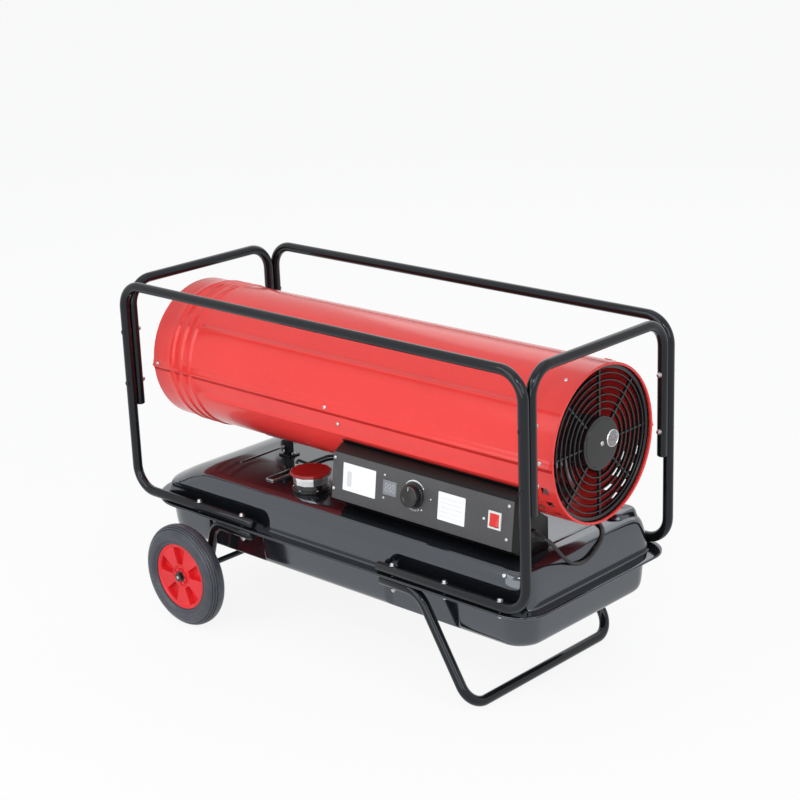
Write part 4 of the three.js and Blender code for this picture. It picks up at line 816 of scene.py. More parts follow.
class HEATER_OT_camera(bpy.types.Operator):
    """Stands the camera where the picture was taken from"""

    bl_idname = "heater.camera"
    bl_label = "Camera"

    def execute(self, context):
        yaw, pitch, roll = CAMERA_YAW, CAMERA_PITCH, CAMERA_ROLL
        ahead = Vector((-sin(yaw) * cos(pitch), cos(yaw) * cos(pitch), -sin(pitch)))
        level = Vector((cos(yaw), sin(yaw), 0))
        upright = level.cross(ahead)
        across = level * cos(roll) + upright * sin(roll)
        upward = upright * cos(roll) - level * sin(roll)
        lens = bpy.data.cameras.new("heater_camera")
        lens.lens = CAMERA_LENS
        lens.sensor_width = SENSOR_WIDTH
        lens.clip_end = FAR_CLIP
        camera = added("heater_camera", lens)
        camera.matrix_world = axes(across, upward, -ahead, CAMERA_PLACE)
        context.scene.camera = camera
        return {"FINISHED"}


LEAD_RUN = (
    (0.48710, -0.11400, 0.33400), (0.49010, -0.11400, 0.33400), (0.49838, -0.11155, 0.33025),
    (0.50327, -0.10456, 0.31937), (0.50684, -0.09707, 0.30829), (0.50973, -0.08893, 0.29747),
    (0.51168, -0.07934, 0.28771), (0.51159, -0.06824, 0.27948), (0.51093, -0.05597, 0.27313),
    (0.51028, -0.04275, 0.26916), (0.50935, -0.02906, 0.26738), (0.50808, -0.01531, 0.26810),
    (0.50728, -0.00194, 0.27145), (0.50686, 0.01060, 0.27728), (0.50577, 0.02272, 0.28386),
    (0.50226, 0.03480, 0.28961), (0.49641, 0.04654, 0.29394), (0.48835, 0.05747, 0.29650),
    (0.47837, 0.06691, 0.29815), (0.46727, 0.07512, 0.29905), (0.45573, 0.08275, 0.29953),
    (0.44387, 0.08989, 0.29957), (0.43179, 0.09665, 0.29940), (0.41956, 0.10314, 0.29919),
    (0.40721, 0.10939, 0.29909), (0.39482, 0.11557, 0.29908), (0.38230, 0.12148, 0.29908),
    (0.36950, 0.12676, 0.29910), (0.35635, 0.13107, 0.29910), (0.34289, 0.13430, 0.29911),
    (0.32927, 0.13680, 0.29912), (0.31558, 0.13886, 0.29913), (0.30187, 0.14074, 0.29911),
    (0.28815, 0.14264, 0.29904), (0.27441, 0.14431, 0.29893), (0.26061, 0.14532, 0.29883),
    (0.24680, 0.14458, 0.29879), (0.23716, 0.14258, 0.29880),
)


def coil_points():
    """Two layers of two turns: a spiral inwards, a climb where it reverses, a spiral outwards."""
    points = []
    centre_x, centre_y = COIL_CENTRE
    down = 2 * COIL_STEPS
    climb = COIL_STEPS // 2

    def add(i, radius, z):
        a = -2 * pi * i / COIL_STEPS
        points.append(Vector((centre_x + radius * sin(a), centre_y + radius * cos(a), z)))

    for i in range(down + 1):
        add(i, COIL_OUTER_R - COIL_PITCH * i / COIL_STEPS, COIL_LOW_Z)
    inner = COIL_OUTER_R - 2 * COIL_PITCH
    for k in range(1, climb):
        dip = COIL_PITCH * min(k, climb - k) / COIL_STEPS
        add(down + k, inner - dip, COIL_LOW_Z + (COIL_HIGH_Z - COIL_LOW_Z) * k / climb)
    for i in range(down + 1):
        add(down + climb + i, inner + COIL_PITCH * i / COIL_STEPS, COIL_HIGH_Z)
    straight = 2 * CORD_R
    points.insert(0, points[0] + (points[0] - points[1]).normalized() * straight)
    points.append(points[-1] + (points[-1] - points[-2]).normalized() * straight)
    return points


PIN_SHIFTS = (-9.5, 9.5)


def make_plug():
    """Moulded plug with grip ribs, two plated pins and a ribbed sleeve."""
    coil = coil_points()
    end = coil[-1]
    out = coil[-1] - coil[-2]
    out.z = 0
    place = facing(end + out.normalized() * 0.3, out)
    flat = place @ Matrix.Diagonal((1, 0.6, 1, 1))
    pins = [moved(place, shift, 0, 0) for shift in PIN_SHIFTS]
    shape = Shape()
    sleeve = [(0, 0), (4.6, 0.6)]
    for k in range(5):
        z = 2.5 + 4 * k
        sleeve += [(4.8 + 0.3 * k, z), (5.6 + 0.3 * k, z + 0.5), (5.6 + 0.3 * k, z + 2),
                   (4.9 + 0.3 * k, z + 2.5)]
    sleeve += [(7.2, 22.5), (11.0, 24.2), (15.4, 27.5), (17.6, 31.5), (18, 34)]
    for k in range(3):
        z = 35.5 + 3.6 * k
        sleeve += [(18, z), (17.3, z + 0.5), (17.3, z + 1.4), (18, z + 1.9)]
    sleeve += [(18, 48.6), (17.4, 49.8), (16.2, 50.2), (0, 50.2)]
    shape.turned(sleeve, flat, 40)
    shape.mark = 1
    for pin in pins:
        shape.turned([(0, 49), (2.4, 49), (2.4, 66.8), (2.1, 68.2), (1.4, 68.9), (0, 69)], pin, 24)
    shape.mark = 0
    for pin in pins:
        shape.turned([(2.42, 49), (3.0, 50.1), (2.6, 51.2), (2.42, 51.2)], pin, 20)
    return shape.into("mains_plug", "plug_black", "axle_steel")


TIE_TURN = radians(-35)
TIE_LOW_Z = 295.15


def make_tie():
    """Thin hook-and-loop strap that holds the coil's turns together."""
    centre = Vector((*COIL_CENTRE, 0))
    outward = Vector((cos(TIE_TURN), sin(TIE_TURN), 0))
    sideways = Vector((-outward.y, outward.x, 0))
    low, high = TIE_LOW_Z, COIL_HIGH_Z + CORD_R + 0.5
    inner_r = COIL_OUTER_R - 2.5 * COIL_PITCH - CORD_R - 0.8
    outer_r = COIL_OUTER_R + CORD_R + 0.5
    section = [(inner_r, low), (outer_r, low), (outer_r, high), (inner_r, high)]
    outline = soft_corners(section, 4.0, 6)
    middle = Vector(((inner_r + outer_r) / 2, (low + high) / 2))
    shape = Shape()
    rings = []
    for thick, width in ((0.0, -5.5), (0.22, -5.8), (0.22, 5.8), (0.0, 5.5)):
        ring = []
        for r, z in outline:
            grow = (Vector((r, z)) - middle).normalized() * (thick if z > low + 1 else 0)
            ring.append(centre + outward * (r + grow.x) + sideways * width
                        + Vector((0, 0, z + grow.y)))
        rings.append(ring)
    shape.loft(rings, False, False)
    tab = facing(centre + outward * (outer_r - 12) + Vector((0, 0, high + 0.2)), (0, 0, 1), outward)
    shape.slab(tab, 11, 17, 0, 0.8, 3, 0.25)
    return shape.into("lead_tie", "plug_black")


class HEATER_OT_lead(bpy.types.Operator):
    """Lays the mains lead from its gland over the tank's edge to a tied coil and a plug"""

    bl_idname = "heater.lead"
    bl_label = "Mains lead"

    def execute(self, context):
        points = [Vector(p) for p in LEAD_RUN] + [p / 1000 for p in coil_points()]
        line = bpy.data.curves.new("mains_lead", "CURVE")
        line.dimensions = "3D"
        line.resolution_u = 5
        line.bevel_depth = sizes().cord_diameter / 2000
        line.bevel_resolution = 5
        line.use_fill_caps = True
        spline = line.splines.new("BEZIER")
        spline.bezier_points.add(len(points) - 1)
        for knot, place in zip(spline.bezier_points, points):
            knot.co = place
            knot.handle_left_type = "AUTO"
            knot.handle_right_type = "AUTO"
        line.materials.append(finish_for("cord_rubber"))
        lead = added("mains_lead", line)
        fitted(lead, "heater", "cord_rubber", "cord_run", "cord_coil")
        plug = fitted(make_plug(), "heater", "plug_black", "cord_plug")
        tie = fitted(make_tie(), "heater", "plug_black")
        return {"FINISHED"}


# ---- tube frame
def frame_tube(corners, radii=FRAME_BEND_R):
    """Round tube of the frame, bent at its corners."""
    shape = Shape()
    shape.tube(bent_path(corners, radii), TUBE_R, TUBE_SIDES)
    return shape


def painted_tube(shape, node):
    """Paints a tube of the frame and puts it in its CAD node's place."""
    return shape.fit(f"{node}_tube", "frame_paint", node=node)


def side_frame(name, side):
    """Closed loop of one side, its foot bars lying on the tank flange."""
    y = side * LOOP_Y
    outlet_end, inlet_end = FOOT_BAR_END_X
    painted_tube(frame_tube([(outlet_end, y, LOOP_FOOT_Z), (-LOOP_X, y, LOOP_FOOT_Z),
                             (-LOOP_X, y, LOOP_TOP_Z), (LOOP_X, y, LOOP_TOP_Z),
                             (LOOP_X, y, LOOP_FOOT_Z), (inlet_end, y, LOOP_FOOT_Z)]),
                 f"side_frame_{name}")


def end_hoop(name, end):
    """Hoop that joins the two side frames at one end."""
    x = end * LOOP_X
    painted_tube(frame_tube([(x, -HOOP_LEG_Y, HOOP_END_Z), (x, -HOOP_LEG_Y, LOOP_TOP_Z),
                             (x, HOOP_LEG_Y, LOOP_TOP_Z), (x, HOOP_LEG_Y, HOOP_END_Z)]),
                 f"{name}_hoop")


def floor_leg():
    """Support leg with its floor bar, pressed flat where it stands."""
    z = UNDER_FLANGE_Z
    shape = frame_tube([(LEG_END_X, -LOOP_Y, z), (LEG_KNEE_X, -LOOP_Y, z),
                        (LEG_FOOT_X, -LOOP_Y, LEG_FOOT_Z), (LEG_FOOT_X, LOOP_Y, LEG_FOOT_Z),
                        (LEG_KNEE_X, LOOP_Y, z), (LEG_END_X, LOOP_Y, z)],
                       [FRAME_BEND_R, LEG_FOOT_BEND_R, LEG_FOOT_BEND_R, FRAME_BEND_R])
    for place in shape.points:
        place.z = max(place.z, 0.0)
    painted_tube(shape, "support_leg")


def wheel_carrier(name, side):
    """Bar under the flange that bends down to the axle, its end closed round it."""
    y = side * LOOP_Y
    shape = frame_tube([(CARRIER_END_X, y, UNDER_FLANGE_Z), (CARRIER_KNEE_X, y, UNDER_FLANGE_Z),
                        (WHEEL_X - 3.5, y, CARRIER_LOW_Z)], CARRIER_BEND_R)
    shape.collar(facing((WHEEL_X, y, AXLE_Z), (0, side, 0)), 6.35, 10.5, -10.3, 10.3, 0.8)
    painted_tube(shape, f"axle_carrier_{name}")


class HEATER_OT_frame_tubes(bpy.types.Operator):
    """Bends the painted tubes of the frame"""

    bl_idname = "heater.frame_tubes"
    bl_label = "Frame tubes"

    def execute(self, context):
        for name, side in SIDES:
            side_frame(name, side)
            wheel_carrier(name, side)
        end_hoop("outlet", -1)
        end_hoop("inlet", 1)
        floor_leg()
        return {"FINISHED"}


BOLT_SHANK_R = 2.85
BOLT_HOLE_R = 3.3
WASHER = 1.2
NUT_WASHER = 1.1


def bolt(shape, place, head, grip, nut=True):
    """Hexagon bolt through a grip length, with washers and a nut; its head is at the placement."""
    end = -grip - 7.5
    shape.collar(place, BOLT_HOLE_R, head * 0.62, 0, WASHER, 0.3, 28)
    shape.hexagon(moved(place, 0, 0, WASHER), head, 0, 3.8)
    shape.turned([(head * 0.42, 4.6), (head * 0.40, 5.2), (head * 0.27, 5.9), (0, 6.2), (0, 4.6)],
                 place, 24)
    shape.turned([(0, 0.5), (BOLT_SHANK_R, 0.5), (BOLT_SHANK_R, end + 1), (2.2, end), (0, end)],
                 place, 16)
    if nut:
        far = moved(place, 0, 0, -grip) @ TURNED_OVER
        shape.collar(far, BOLT_HOLE_R, head * 0.58, 0, NUT_WASHER, 0.3, 28)
        shape.hexagon(spun(far, 0.3), head * 0.96, NUT_WASHER, 5.6)


class HEATER_OT_frame_bolts(bpy.types.Operator):
    """Bolts the frame to the tank flange and the hoops to the side frames"""

    bl_idname = "heater.frame_bolts"
    bl_label = "Frame bolts"

    def execute(self, context):
        head = sizes().bolt_head
        shape = Shape()
        top = LOOP_FOOT_Z + TUBE_R
        for _, side in SIDES:
            for x in FLANGE_BOLT_X:
                doubled = abs(x) == DOUBLED_BOLT_X
                grip = top - (UNDER_FLANGE_Z - TUBE_R if doubled else FLANGE_BOTTOM_Z)
                bolt(shape, facing((x, side * LOOP_Y, top), (0, 0, 1)), head, grip)
            for end in (-1, 1):
                for z in HOOP_BOLT_Z:
                    self.hoop_bolt(shape, side, end * LOOP_X, z, head)
        shape.fit("frame_bolts", "screw_zinc", "frame_paint", slot="axle_steel")
        return {"FINISHED"}

    def hoop_bolt(self, shape, side, x, z, head):
        """Bright bolt with its head inside the hoop and a low painted nut outside the loop."""
        inside = facing((x, side * (HOOP_LEG_Y - TUBE_R), z), (0, -side, 0))
        bolt(shape, inside, head * 0.9, 3 * TUBE_R, False)
        shape.mark = 1
        outside = facing((x, side * (LOOP_Y + TUBE_R), z), (0, side, 0))
        shape.turned(soft_corners([(0, -1), (5.2, -1), (5.2, 0.7), (3.2, 0.9), (3.0, 0.2),
                                   (0, 0.1)], 0.2), outside, 24)
        shape.mark = 0


# ---- wheels
def make_tyre(name, side):
    """Solid rubber tyre: a dished ring by the rim, a round shoulder with grooves, a flat tread."""
    r = sizes().wheel_radius
    inner = WHEEL_OUTER_Y - WHEEL_WIDTH
    outer = WHEEL_OUTER_Y
    seat = RIM_R + 0.3
    profile = [(seat, outer - 5), (seat + 1, outer - 5.7), (RIM_R + 4.2, outer - 6),
               (RIM_R + 6.2, outer - 5), (RIM_R + 7.8, outer - 2.4), (RIM_R + 9.4, outer - 0.7),
               (RIM_R + 12, outer), (RIM_R + 15, outer - 0.1)]
    shoulder = r - RIM_R - 19
    for k in range(61):
        degrees = 1.5 * k
        t = radians(degrees)
        grooved = any(abs(degrees - groove) < 2.0 for groove in TYRE_GROOVES)
        reach = shoulder - (TYRE_GROOVE_DEPTH if grooved else 0.0)
        profile.append((RIM_R + 19 + reach * sin(t), outer - 0.4 - shoulder + reach * cos(t)))
    profile += [(r, inner + 15), (r - 0.4, inner + 11.5), (r - 1.6, inner + 8),
                (r - 3.6, inner + 5), (r - 7, inner + 2.6), (r - 13, inner + 0.5),
                (r - 18, inner), (RIM_R + 12, inner), (RIM_R + 5, inner + 2.6), (seat, inner + 5)]
    shape = Shape()
    shape.turned(profile, at_wheel(side), 128)
    node = f"tyre_{name}"
    shape.fit(f"{node}_rubber", "tyre_rubber", node=node, body=f"wheel_{name}", crease=50)


def make_hub(name, side):
    """Moulded hub: a thin raised rim, five wedge-shaped pockets, a notched collar at the axle."""
    face = WHEEL_OUTER_Y - 8
    outer = WHEEL_OUTER_Y - 5
    back = outer - 28
    sector = 2 * pi / HUB_POCKETS
    half_pocket = radians(15.75)

    def pressed(radius, height, angle):
        if height < face - 4.5:
            return radius, height
        if 12 < radius < 17:
            notched = (angle * 8 / (2 * pi)) % 1.0 < 0.3
            return radius, height - (1.8 if notched else 0.0)
        a = (angle - POCKET_PHASE + sector / 2) % sector - sector / 2
        edge = radius * (half_pocket - abs(a))
        inside = (eased(edge, -0.4, 1.4) * eased(radius, 25.5, 28)
                  * (1 - eased(radius, 59.5, 61.8)))
        return radius, height - POCKET_DEPTH * inside

    radii = (24.5, 25.5, 26.1, 26.8, 27.5, 28, 31, 36, 42, 48, 54, 57.5, 59.5, 60.1, 60.7, 61.3,
             61.8, 62.6)
    profile = [(6.1, outer - 1.5), (12.4, outer - 1.5), (12.6, outer - 0.4), (16.4, outer - 0.4),
               (16.8, outer - 1.2), (17.2, face - 2), (18.4, face - 3), (21.6, face - 3),
               (23, face - 0.6)]
    profile += [(r, face) for r in radii]
    profile += [(63.6, face + 0.4), (64.4, face + 1.6), (65.2, outer - 0.3), (66.2, outer),
                (68, outer), (RIM_R, outer - 0.8), (RIM_R, back + 0.8), (68, back), (65.5, back),
                (64.6, back + 1), (63, outer - 17), (60, outer - 18.2), (20, outer - 18.2),
                (17.5, outer - 19), (15.4, outer - 22), (14, 223.6), (12.4, 222.8), (6.1, 222.8)]
    place = at_wheel(side)
    shape = Shape()
    shape.turned(profile, place, 240, pressed)
    for k in range(2 * HUB_POCKETS):
        rib = moved(spun(place, pi / HUB_POCKETS * (k + 0.5)), 40, 0, 0)
        shape.slab(rib, 48, 2.2, outer - 26, outer - 17.8, 0.8, 0.4, 2)
    node = f"wheel_hub_{name}"
    shape.fit(f"{node}_moulding", "wheel_red", node=node, body=f"wheel_{name}", crease=40)


def make_hub_nut(name, side):
    """Black push-on nut, square on a round washer, with the axle's bright end in its middle."""
    face = WHEEL_OUTER_Y - 9 + 0.6
    place = at_wheel(side)
    shape = Shape()
    shape.collar(place, 6.3, 11, face, face + 3.4, 0.5)
    shape.slab(spun(place, 0.5), 14.5, 14.5, face + 3.2, face + 9.4, 2.6, 1.2)
    shape.mark = 1
    shape.turned([(0, face + 9.2), (3.4, face + 9.2), (3.2, face + 10), (2.2, face + 10.5),
                  (0, face + 10.6)], place, 24)
    node = f"hub_nut_{name}"
    shape.fit(f"{node}_cap", "nut_black", "screw_zinc", node=node)


def make_axle():
    """Painted axle with turned ends and the two collars that space the wheels."""
    place = at_wheel(1)
    reach = WHEEL_OUTER_Y - 6
    shape = Shape()
    shape.turned([(0, -reach), (4.6, -reach), (AXLE_R, -reach + 1.4), (AXLE_R, reach - 1.4),
                  (4.6, reach), (0, reach)], place, 32)
    for side in (-1, 1):
        y = side * AXLE_COLLAR_Y
        shape.collar(place, AXLE_R, 9.8, y - 5, y + 5, 0.8)
    shape.fit("axle_rod", "frame_paint", node="axle", slot="axle_steel")


class HEATER_OT_wheels(bpy.types.Operator):
    """Makes the axle and the two wheels"""

    bl_idname = "heater.wheels"
    bl_label = "Wheels"

    def execute(self, context):
        make_axle()
        for name, side in SIDES:
            make_tyre(name, side)
            make_hub(name, side)
            make_hub_nut(name, side)
        return {"FINISHED"}


# ---- tank
# the tank's pressed shells, level by level: (z, least x, greatest x, half width, corner radius at
# the intake end, corner radius at the outlet end)
UPPER_LEVELS = (
    (221.2, -493, 512, 203, 46, 72), (222.8, -490.8, 509.8, 200.8, 44, 70),
    (226, -489.4, 509, 200, 44, 70), (236, -486, 508, 199, 44, 70), (252, -478, 506, 197, 44, 70),
    (270, -446, 503, 194, 44, 70), (283, -418, 499, 189, 44, 66), (291, -392, 489, 180, 44, 62),
    (295, -362, 473, 164, 42, 50), (295, -350, 462, 153, 36, 44),
)
LOWER_LEVELS = (
    (140, -456, 473, 162, 36, 66), (140, -468, 485, 174, 42, 74), (145, -478, 496, 184, 46, 80),
    (156, -485, 502, 191, 48, 84), (186, -488, 504.5, 194, 49, 84), (212, -489.6, 506, 196, 50, 84),
    (216, -491.5, 507.6, 197.6, 51, 85), (217.4, -493.5, 509.6, 199.6, 52, 86),
)
UPPER_POCKETS = ((-640, -143), (186, 640))
UPPER_POCKET_TOP = 258
LOWER_POCKETS = ((-322, -168), (166, 348))
CORNER_STEPS = 16


def smooth_levels(levels, parts):
    """Levels filled in along smooth curves, so that the pressed walls have no corners."""
    filled = []
    for i in range(len(levels) - 1):
        before = levels[max(i - 1, 0)]
        start, end = levels[i], levels[i + 1]
        after = levels[min(i + 2, len(levels) - 1)]
        for k in range(parts):
            t = k / parts
            row = []
            for a, b, c, d in zip(before, start, end, after):
                slope_b = (c - a) / 2 if (c - b) * (b - a) > 0 else 0
                slope_c = (d - b) / 2 if (d - c) * (c - b) > 0 else 0
                limit = 2.2 * abs(c - b)
                slope_b = max(-limit, min(limit, slope_b))
                slope_c = max(-limit, min(limit, slope_c))
                row.append((2 * t ** 3 - 3 * t * t + 1) * b
                           + (t ** 3 - 2 * t * t + t) * slope_b
                           + (3 * t * t - 2 * t ** 3) * c + (t ** 3 - t * t) * slope_c)
            filled.append(row)
    filled.append(list(levels[-1]))
    return filled


def wall_stations(pockets, x0, x1):
    """Places along a long wall: close together at the pockets' ends, wide apart between them."""
    edges = [x for pocket in pockets for x in pocket if x0 < x < x1]
    stations = {x0, x1}
    x = x0
    while x < x1:
        near = min((abs(x - e) for e in edges), default=99)
        x += 2.0 if near < 26 else 7.0
        stations.add(min(x, x1))
    return sorted(stations)


def pressed_ring(level, stations, pressed):
    """One level of a pressed shell: a rounded rectangle, its long walls pressed in at pockets."""
    z, x0, x1, y, r, r0 = level
    low_x, high_x = stations[0], stations[-1]
    ring = []

    def held(px, py):
        beyond = max(0.0, abs(py) - POCKET_Y)
        ring.append(Vector((px, py - copysign(beyond * pressed(px, z), py), z)))

    def corner(cx, cy, start, radius):
        for k in range(1, CORNER_STEPS):
            a = radians(start + 90 * k / CORNER_STEPS)
            held(cx + radius * cos(a), cy + radius * sin(a))

    span = (x1 - r) - (x0 + r0)
    along = [x0 + r0 + span * (s - low_x) / (high_x - low_x) for s in stations]
    for px in along:
        held(px, -y)
    corner(x1 - r, -y + r, 270, r)
    for k in range(CORNER_STEPS + 1):
        held(x1, (-y + r) + 2 * (y - r) * k / CORNER_STEPS)
    corner(x1 - r, y - r, 0, r)
    for px in reversed(along):
        held(px, y)
    corner(x0 + r0, y - r0, 90, r0)
    for k in range(CORNER_STEPS + 1):
        held(x0, (y - r0) - 2 * (y - r0) * k / CORNER_STEPS)
    corner(x0 + r0, -y + r0, 180, r0)
    return ring


def pocket_press(pockets, top, corner, ease):
    """How deep the wall is pressed at each place, from 0 to 1, with round corners, soft edges."""
    def pressed(x, z):
        deepest = 0.0
        for start, end in pockets:
            across = max(start - x, x - end) + corner
            above = z - top + corner
            outside = (hypot(max(across, 0.0), max(above, 0.0))
                       + min(max(across, above), 0.0) - corner)
            deepest = max(deepest, 1 - eased(outside, -ease, ease * 0.25))
        return deepest
    return pressed


def flange_rim(shape, low, high):
    """Flat flange round the tank with a rounded edge."""
    levels = []
    for by, z in ((9.0, low), (0.9, low), (0.25, low + 0.35), (0, low + 0.9), (0, high - 0.9),
                  (0.25, high - 0.35), (0.9, high), (9.0, high)):
        levels.append([z, -519 + by, 534 - by, 224 - by, 62 - by, 116 - by])
    stations = wall_stations((), -403, 472)
    shape.loft([pressed_ring(level, stations, lambda x, z: 0.0) for level in levels])


def cross_bead(shape, x, half, z, radius, squash):
    """Low bead pressed across the tank's deck or floor."""
    path = [(x, -half + 2 * half * k / 12, z) for k in range(13)]
    shape.tube(path, radius, 16, squash=squash)


class HEATER_OT_tank(bpy.types.Operator):
    """Presses the two tank shells with their flanges, pockets and drain plug"""

    bl_idname = "heater.tank"
    bl_label = "Fuel tank"

    def execute(self, context):
        self.upper()
        self.lower()
        self.drain()
        return {"FINISHED"}

    def upper(self):
        shape = Shape()
        stations = wall_stations(UPPER_POCKETS, -420, 465)
        pressed = pocket_press(UPPER_POCKETS, UPPER_POCKET_TOP, 22.0, 11.0)
        rows = smooth_levels(UPPER_LEVELS, 7)
        shape.loft([pressed_ring(row, stations, pressed) for row in rows])
        flange_rim(shape, FLANGE_SPLIT_Z + 0.15, FLANGE_TOP_Z)
        self.deck_pad(shape)
        for x, half in ((-330, 96), (452, 112)):
            cross_bead(shape, x, half, DECK_Z - 0.6, 4.5, 0.5)
        shape.mark = 2
        for _, side in SIDES:
            shape.pan_screw(facing((458, side * 190.5, 281.5), (0, side * 0.85, 0.5)), 4.4, 3)
        shape.fit("tank_upper_pressing", "tank_paint", "dark_well", "screw_zinc",
                  node="tank_upper_shell", crease=50)

    def deck_pad(self, shape):
        """Raised pad at the intake end of the deck, with two slots in it shown as black plates of
        painted shade.
        """
        pad = at(460, 147, 0)
        rings = []
        for z, width, height, r in ((286, 50, 78, 22), (290, 47, 75, 21), (297, 43, 71, 19),
                                    (301, 38, 66, 17), (303.3, 32, 60, 14), (304, 24, 52, 10)):
            rings.append([pad @ Vector((x, y, z)) for x, y in round_rect(width, height, r, 8)])
        shape.loft(rings)
        # black plates in the slots: painted shade, not openings
        shape.mark = 1
        for y in (-13, 9):
            slot = at(459, 147 + y, 303.4)
            slot = slot @ Matrix.Rotation(radians(12), 4, "Y")
            shape.slab(slot, 15, 6, 0, 1.0, 2.9, 0.4)
        shape.mark = 0

    def lower(self):
        shape = Shape()
        stations = wall_stations(LOWER_POCKETS, -400, 456)
        pressed = pocket_press(LOWER_POCKETS, inf, 10.0, 8.0)
        rows = smooth_levels(LOWER_LEVELS, 4)
        shape.loft([pressed_ring(row, stations, pressed) for row in rows])
        flange_rim(shape, FLANGE_BOTTOM_Z, FLANGE_SPLIT_Z - 0.15)
        for x in (-240, -60, 150, 330):
            cross_bead(shape, x, 110, TANK_FLOOR_Z + 0.8, 6, 0.45)
        shape.fit("tank_lower_pressing", "tank_paint", node="tank_lower_shell", crease=50)

    def drain(self):
        place = facing((60, 0, TANK_FLOOR_Z - 0.3), (0, 0, -1))
        shape = Shape()
        shape.collar(place, 7, 13, 0, 1.8, 0.4)
        shape.hexagon(place, 22, 1.8, 10.7)
        shape.turned([(0, 2), (7, 2), (7, -6), (0, -6)], place, 24)
        shape.fit("drain_plug_bolt", "drain_steel", node="drain_plug")


class HEATER_OT_filler(bpy.types.Operator):
    """Makes the filler neck and the screwed fuel cap, and gives the strainer and gasket their
    finishes
    """

    bl_idname = "heater.filler"
    bl_label = "Fuel filler"

    def execute(self, context):
        place = at(CAP_X, CAP_Y, 0)
        self.neck(place)
        self.cap(place)
        repaint("cap_gasket", "gasket_rubber")
        repaint("fuel_strainer", "strainer_steel")
        return {"FINISHED"}

    def neck(self, place):
        base = NECK_BASE_Z
        neck = Shape()
        neck.turned(soft_corners([(26, base - 8), (26, base), (38, base), (38, base + 5.6),
                                  (37, base + 6.6), (33.4, base + 7), (33, base + 15),
                                  (28, base + 15), (28, base + 26), (23, base + 26),
                                  (23, base - 8)], 0.7), place, 56)
        neck.mark = 1
        for k in range(6):
            a = radians(60 * k - 25)
            neck.pan_screw(round_about(place, 35.3, a, base + 6.5), 1.9, 1.3)
        neck.fit("filler_neck_ring", "neck_black", "screw_zinc", node="filler_neck")

    def cap(self, place):
        base = NECK_BASE_Z
        step = radians(30)

        def twelve_sided(radius, height, angle):
            if radius < 30:
                return radius, height
            a = (angle - CAP_PHASE) % step - step / 2
            return radius * cos(step / 2) / cos(a), height

        skirt = Shape()
        skirt.turned([(28.6, base + 16), (34.6, base + 16), (35.4, base + 16.6), (36, base + 26),
                      (37.4, base + 32), (37.2, base + 33), (0, base + 33), (0, base + 32),
                      (28.6, base + 32)], place, 144, twelve_sided)
        skirt.fit("fuel_cap_skirt", "cap_chrome", node="fuel_cap", body="cap", crease=24)
        low = base + 33.3
        crown = Shape()
        crown.turned([(0, low), (39.4, low), (41.6, low + 0.7), (42.2, low + 1.8),
                      (42.2, low + 4.6), (41.4, low + 6.4), (39.6, low + 7.5), (38.2, low + 7.6),
                      (36.4, low + 6.7), (30.2, low + 6.5), (14, low + 6.4), (0, low + 6.4)],
                     place, 144, twelve_sided)
        crown.fit("fuel_cap_crown", "cap_red", node="fuel_cap_top", body="cap", crease=24)


HOSE_X = 224
HOSE_CROSS_Y = 52
HOSE_LANE_Y = -30


class HEATER_OT_fuel_line(bpy.types.Operator):
    """Makes the fuel pickup and the fuel hose, and gives the air hose its finish; both hoses run to
    the nozzle
    """

    bl_idname = "heater.fuel_line"
    bl_label = "Fuel line"

    def execute(self, context):
        x, y = PICKUP_X, PICKUP_Y
        self.pickup(x, y)
        low = DECK_Z + 3.8
        path = bent_path([(x, y, 304.3), (x, y, 317.3), (x, y + 32, low), (x, HOSE_CROSS_Y, low),
                          (120, HOSE_LANE_Y, low), (HOSE_X, HOSE_LANE_Y, low), (HOSE_X, 0, 329),
                          (HOSE_X, 0, 481.7)], [6, 12, 20, 20, 18, 14], 8)
        hose = Shape()
        hose.tube(path, 3, 16, False)
        hose.mark = 1
        for spot in ((x, y, 306.5), (HOSE_X, 0, 333)):
            ring = at(*spot)
            hose.collar(ring, 3.05, 3.9, -2.2, 2.2, 0.3, 24)
            hose.slab(moved(ring, 4.6, 0, 0), 4, 3, -2, 2, 0.5, 0.3)
        hose.fit("fuel_hose_line", "hose_black", "axle_steel", node="fuel_hose")
        repaint("air_hose", "hose_black")
        return {"FINISHED"}

    def pickup(self, x, y):
        """Brass fitting and suction pipe, with a painted plate over a bright one."""
        place = at(x, y, 0)
        plate = at(x + 1, y - 34, 0)
        pickup = Shape()
        pickup.turned([(0, 151), (6.4, 151), (7, 151.8), (7, 176), (6, 178), (3, 179), (3, 290),
                       (4, 290), (4, 296), (6, 298), (6, 300), (3.4, 300.8), (3.4, 301.4),
                       (4.2, 302), (3.2, 304), (0, 304)], place, 24)
        pickup.hexagon(place, 13, 297.5, 300.6)
        pickup.mark = 1
        pickup.slab(plate, 22, 92, NECK_BASE_Z, 298.0, 4, 0.6)
        pickup.mark = 2
        pickup.slab(plate, 16, 86, 297.6, 299.0, 3, 0.4)
        pickup.fit("fuel_pickup_fitting", "fuel_brass", "axle_steel", "neck_black",
                   node="fuel_pickup")


# ---- burner cylinder
BEAD_BELOW = 2.6
BEAD_ABOVE = 7.0
UPPER_BEADS = ((37, -400, 480), (143, -400, 480))
LOWER_BEADS = ((-20, -390, 480), (200, -390, 480))


def off_angle(angle, middle):
    """Degrees from a middle to an angle, the short way round."""
    return (angle - middle + 180) % 360 - 180


def skin_radius(x, angle, beads):
    """Outer radius of the cylinder: ribs round it, and beads along it that are steep below."""
    r = sizes().body_radius
    for rib in RIB_X:
        off = abs(x - rib) / 8
        if off < 1:
            r += sizes().rib_height * (0.5 + 0.5 * cos(pi * off))
    for centre, x0, x1 in beads:
        turn = off_angle(angle, centre)
        below = turn * cos(radians(centre)) < 0
        away = abs(radians(turn)) * sizes().body_radius / (BEAD_BELOW if below else BEAD_ABOVE)
        if away < 1:
            ends = eased(x, x0, x0 + 12) * (1 - eased(x, x1 - 12, x1))
            r += sizes().bead_height * (0.5 + 0.5 * cos(pi * away)) * ends
    return r


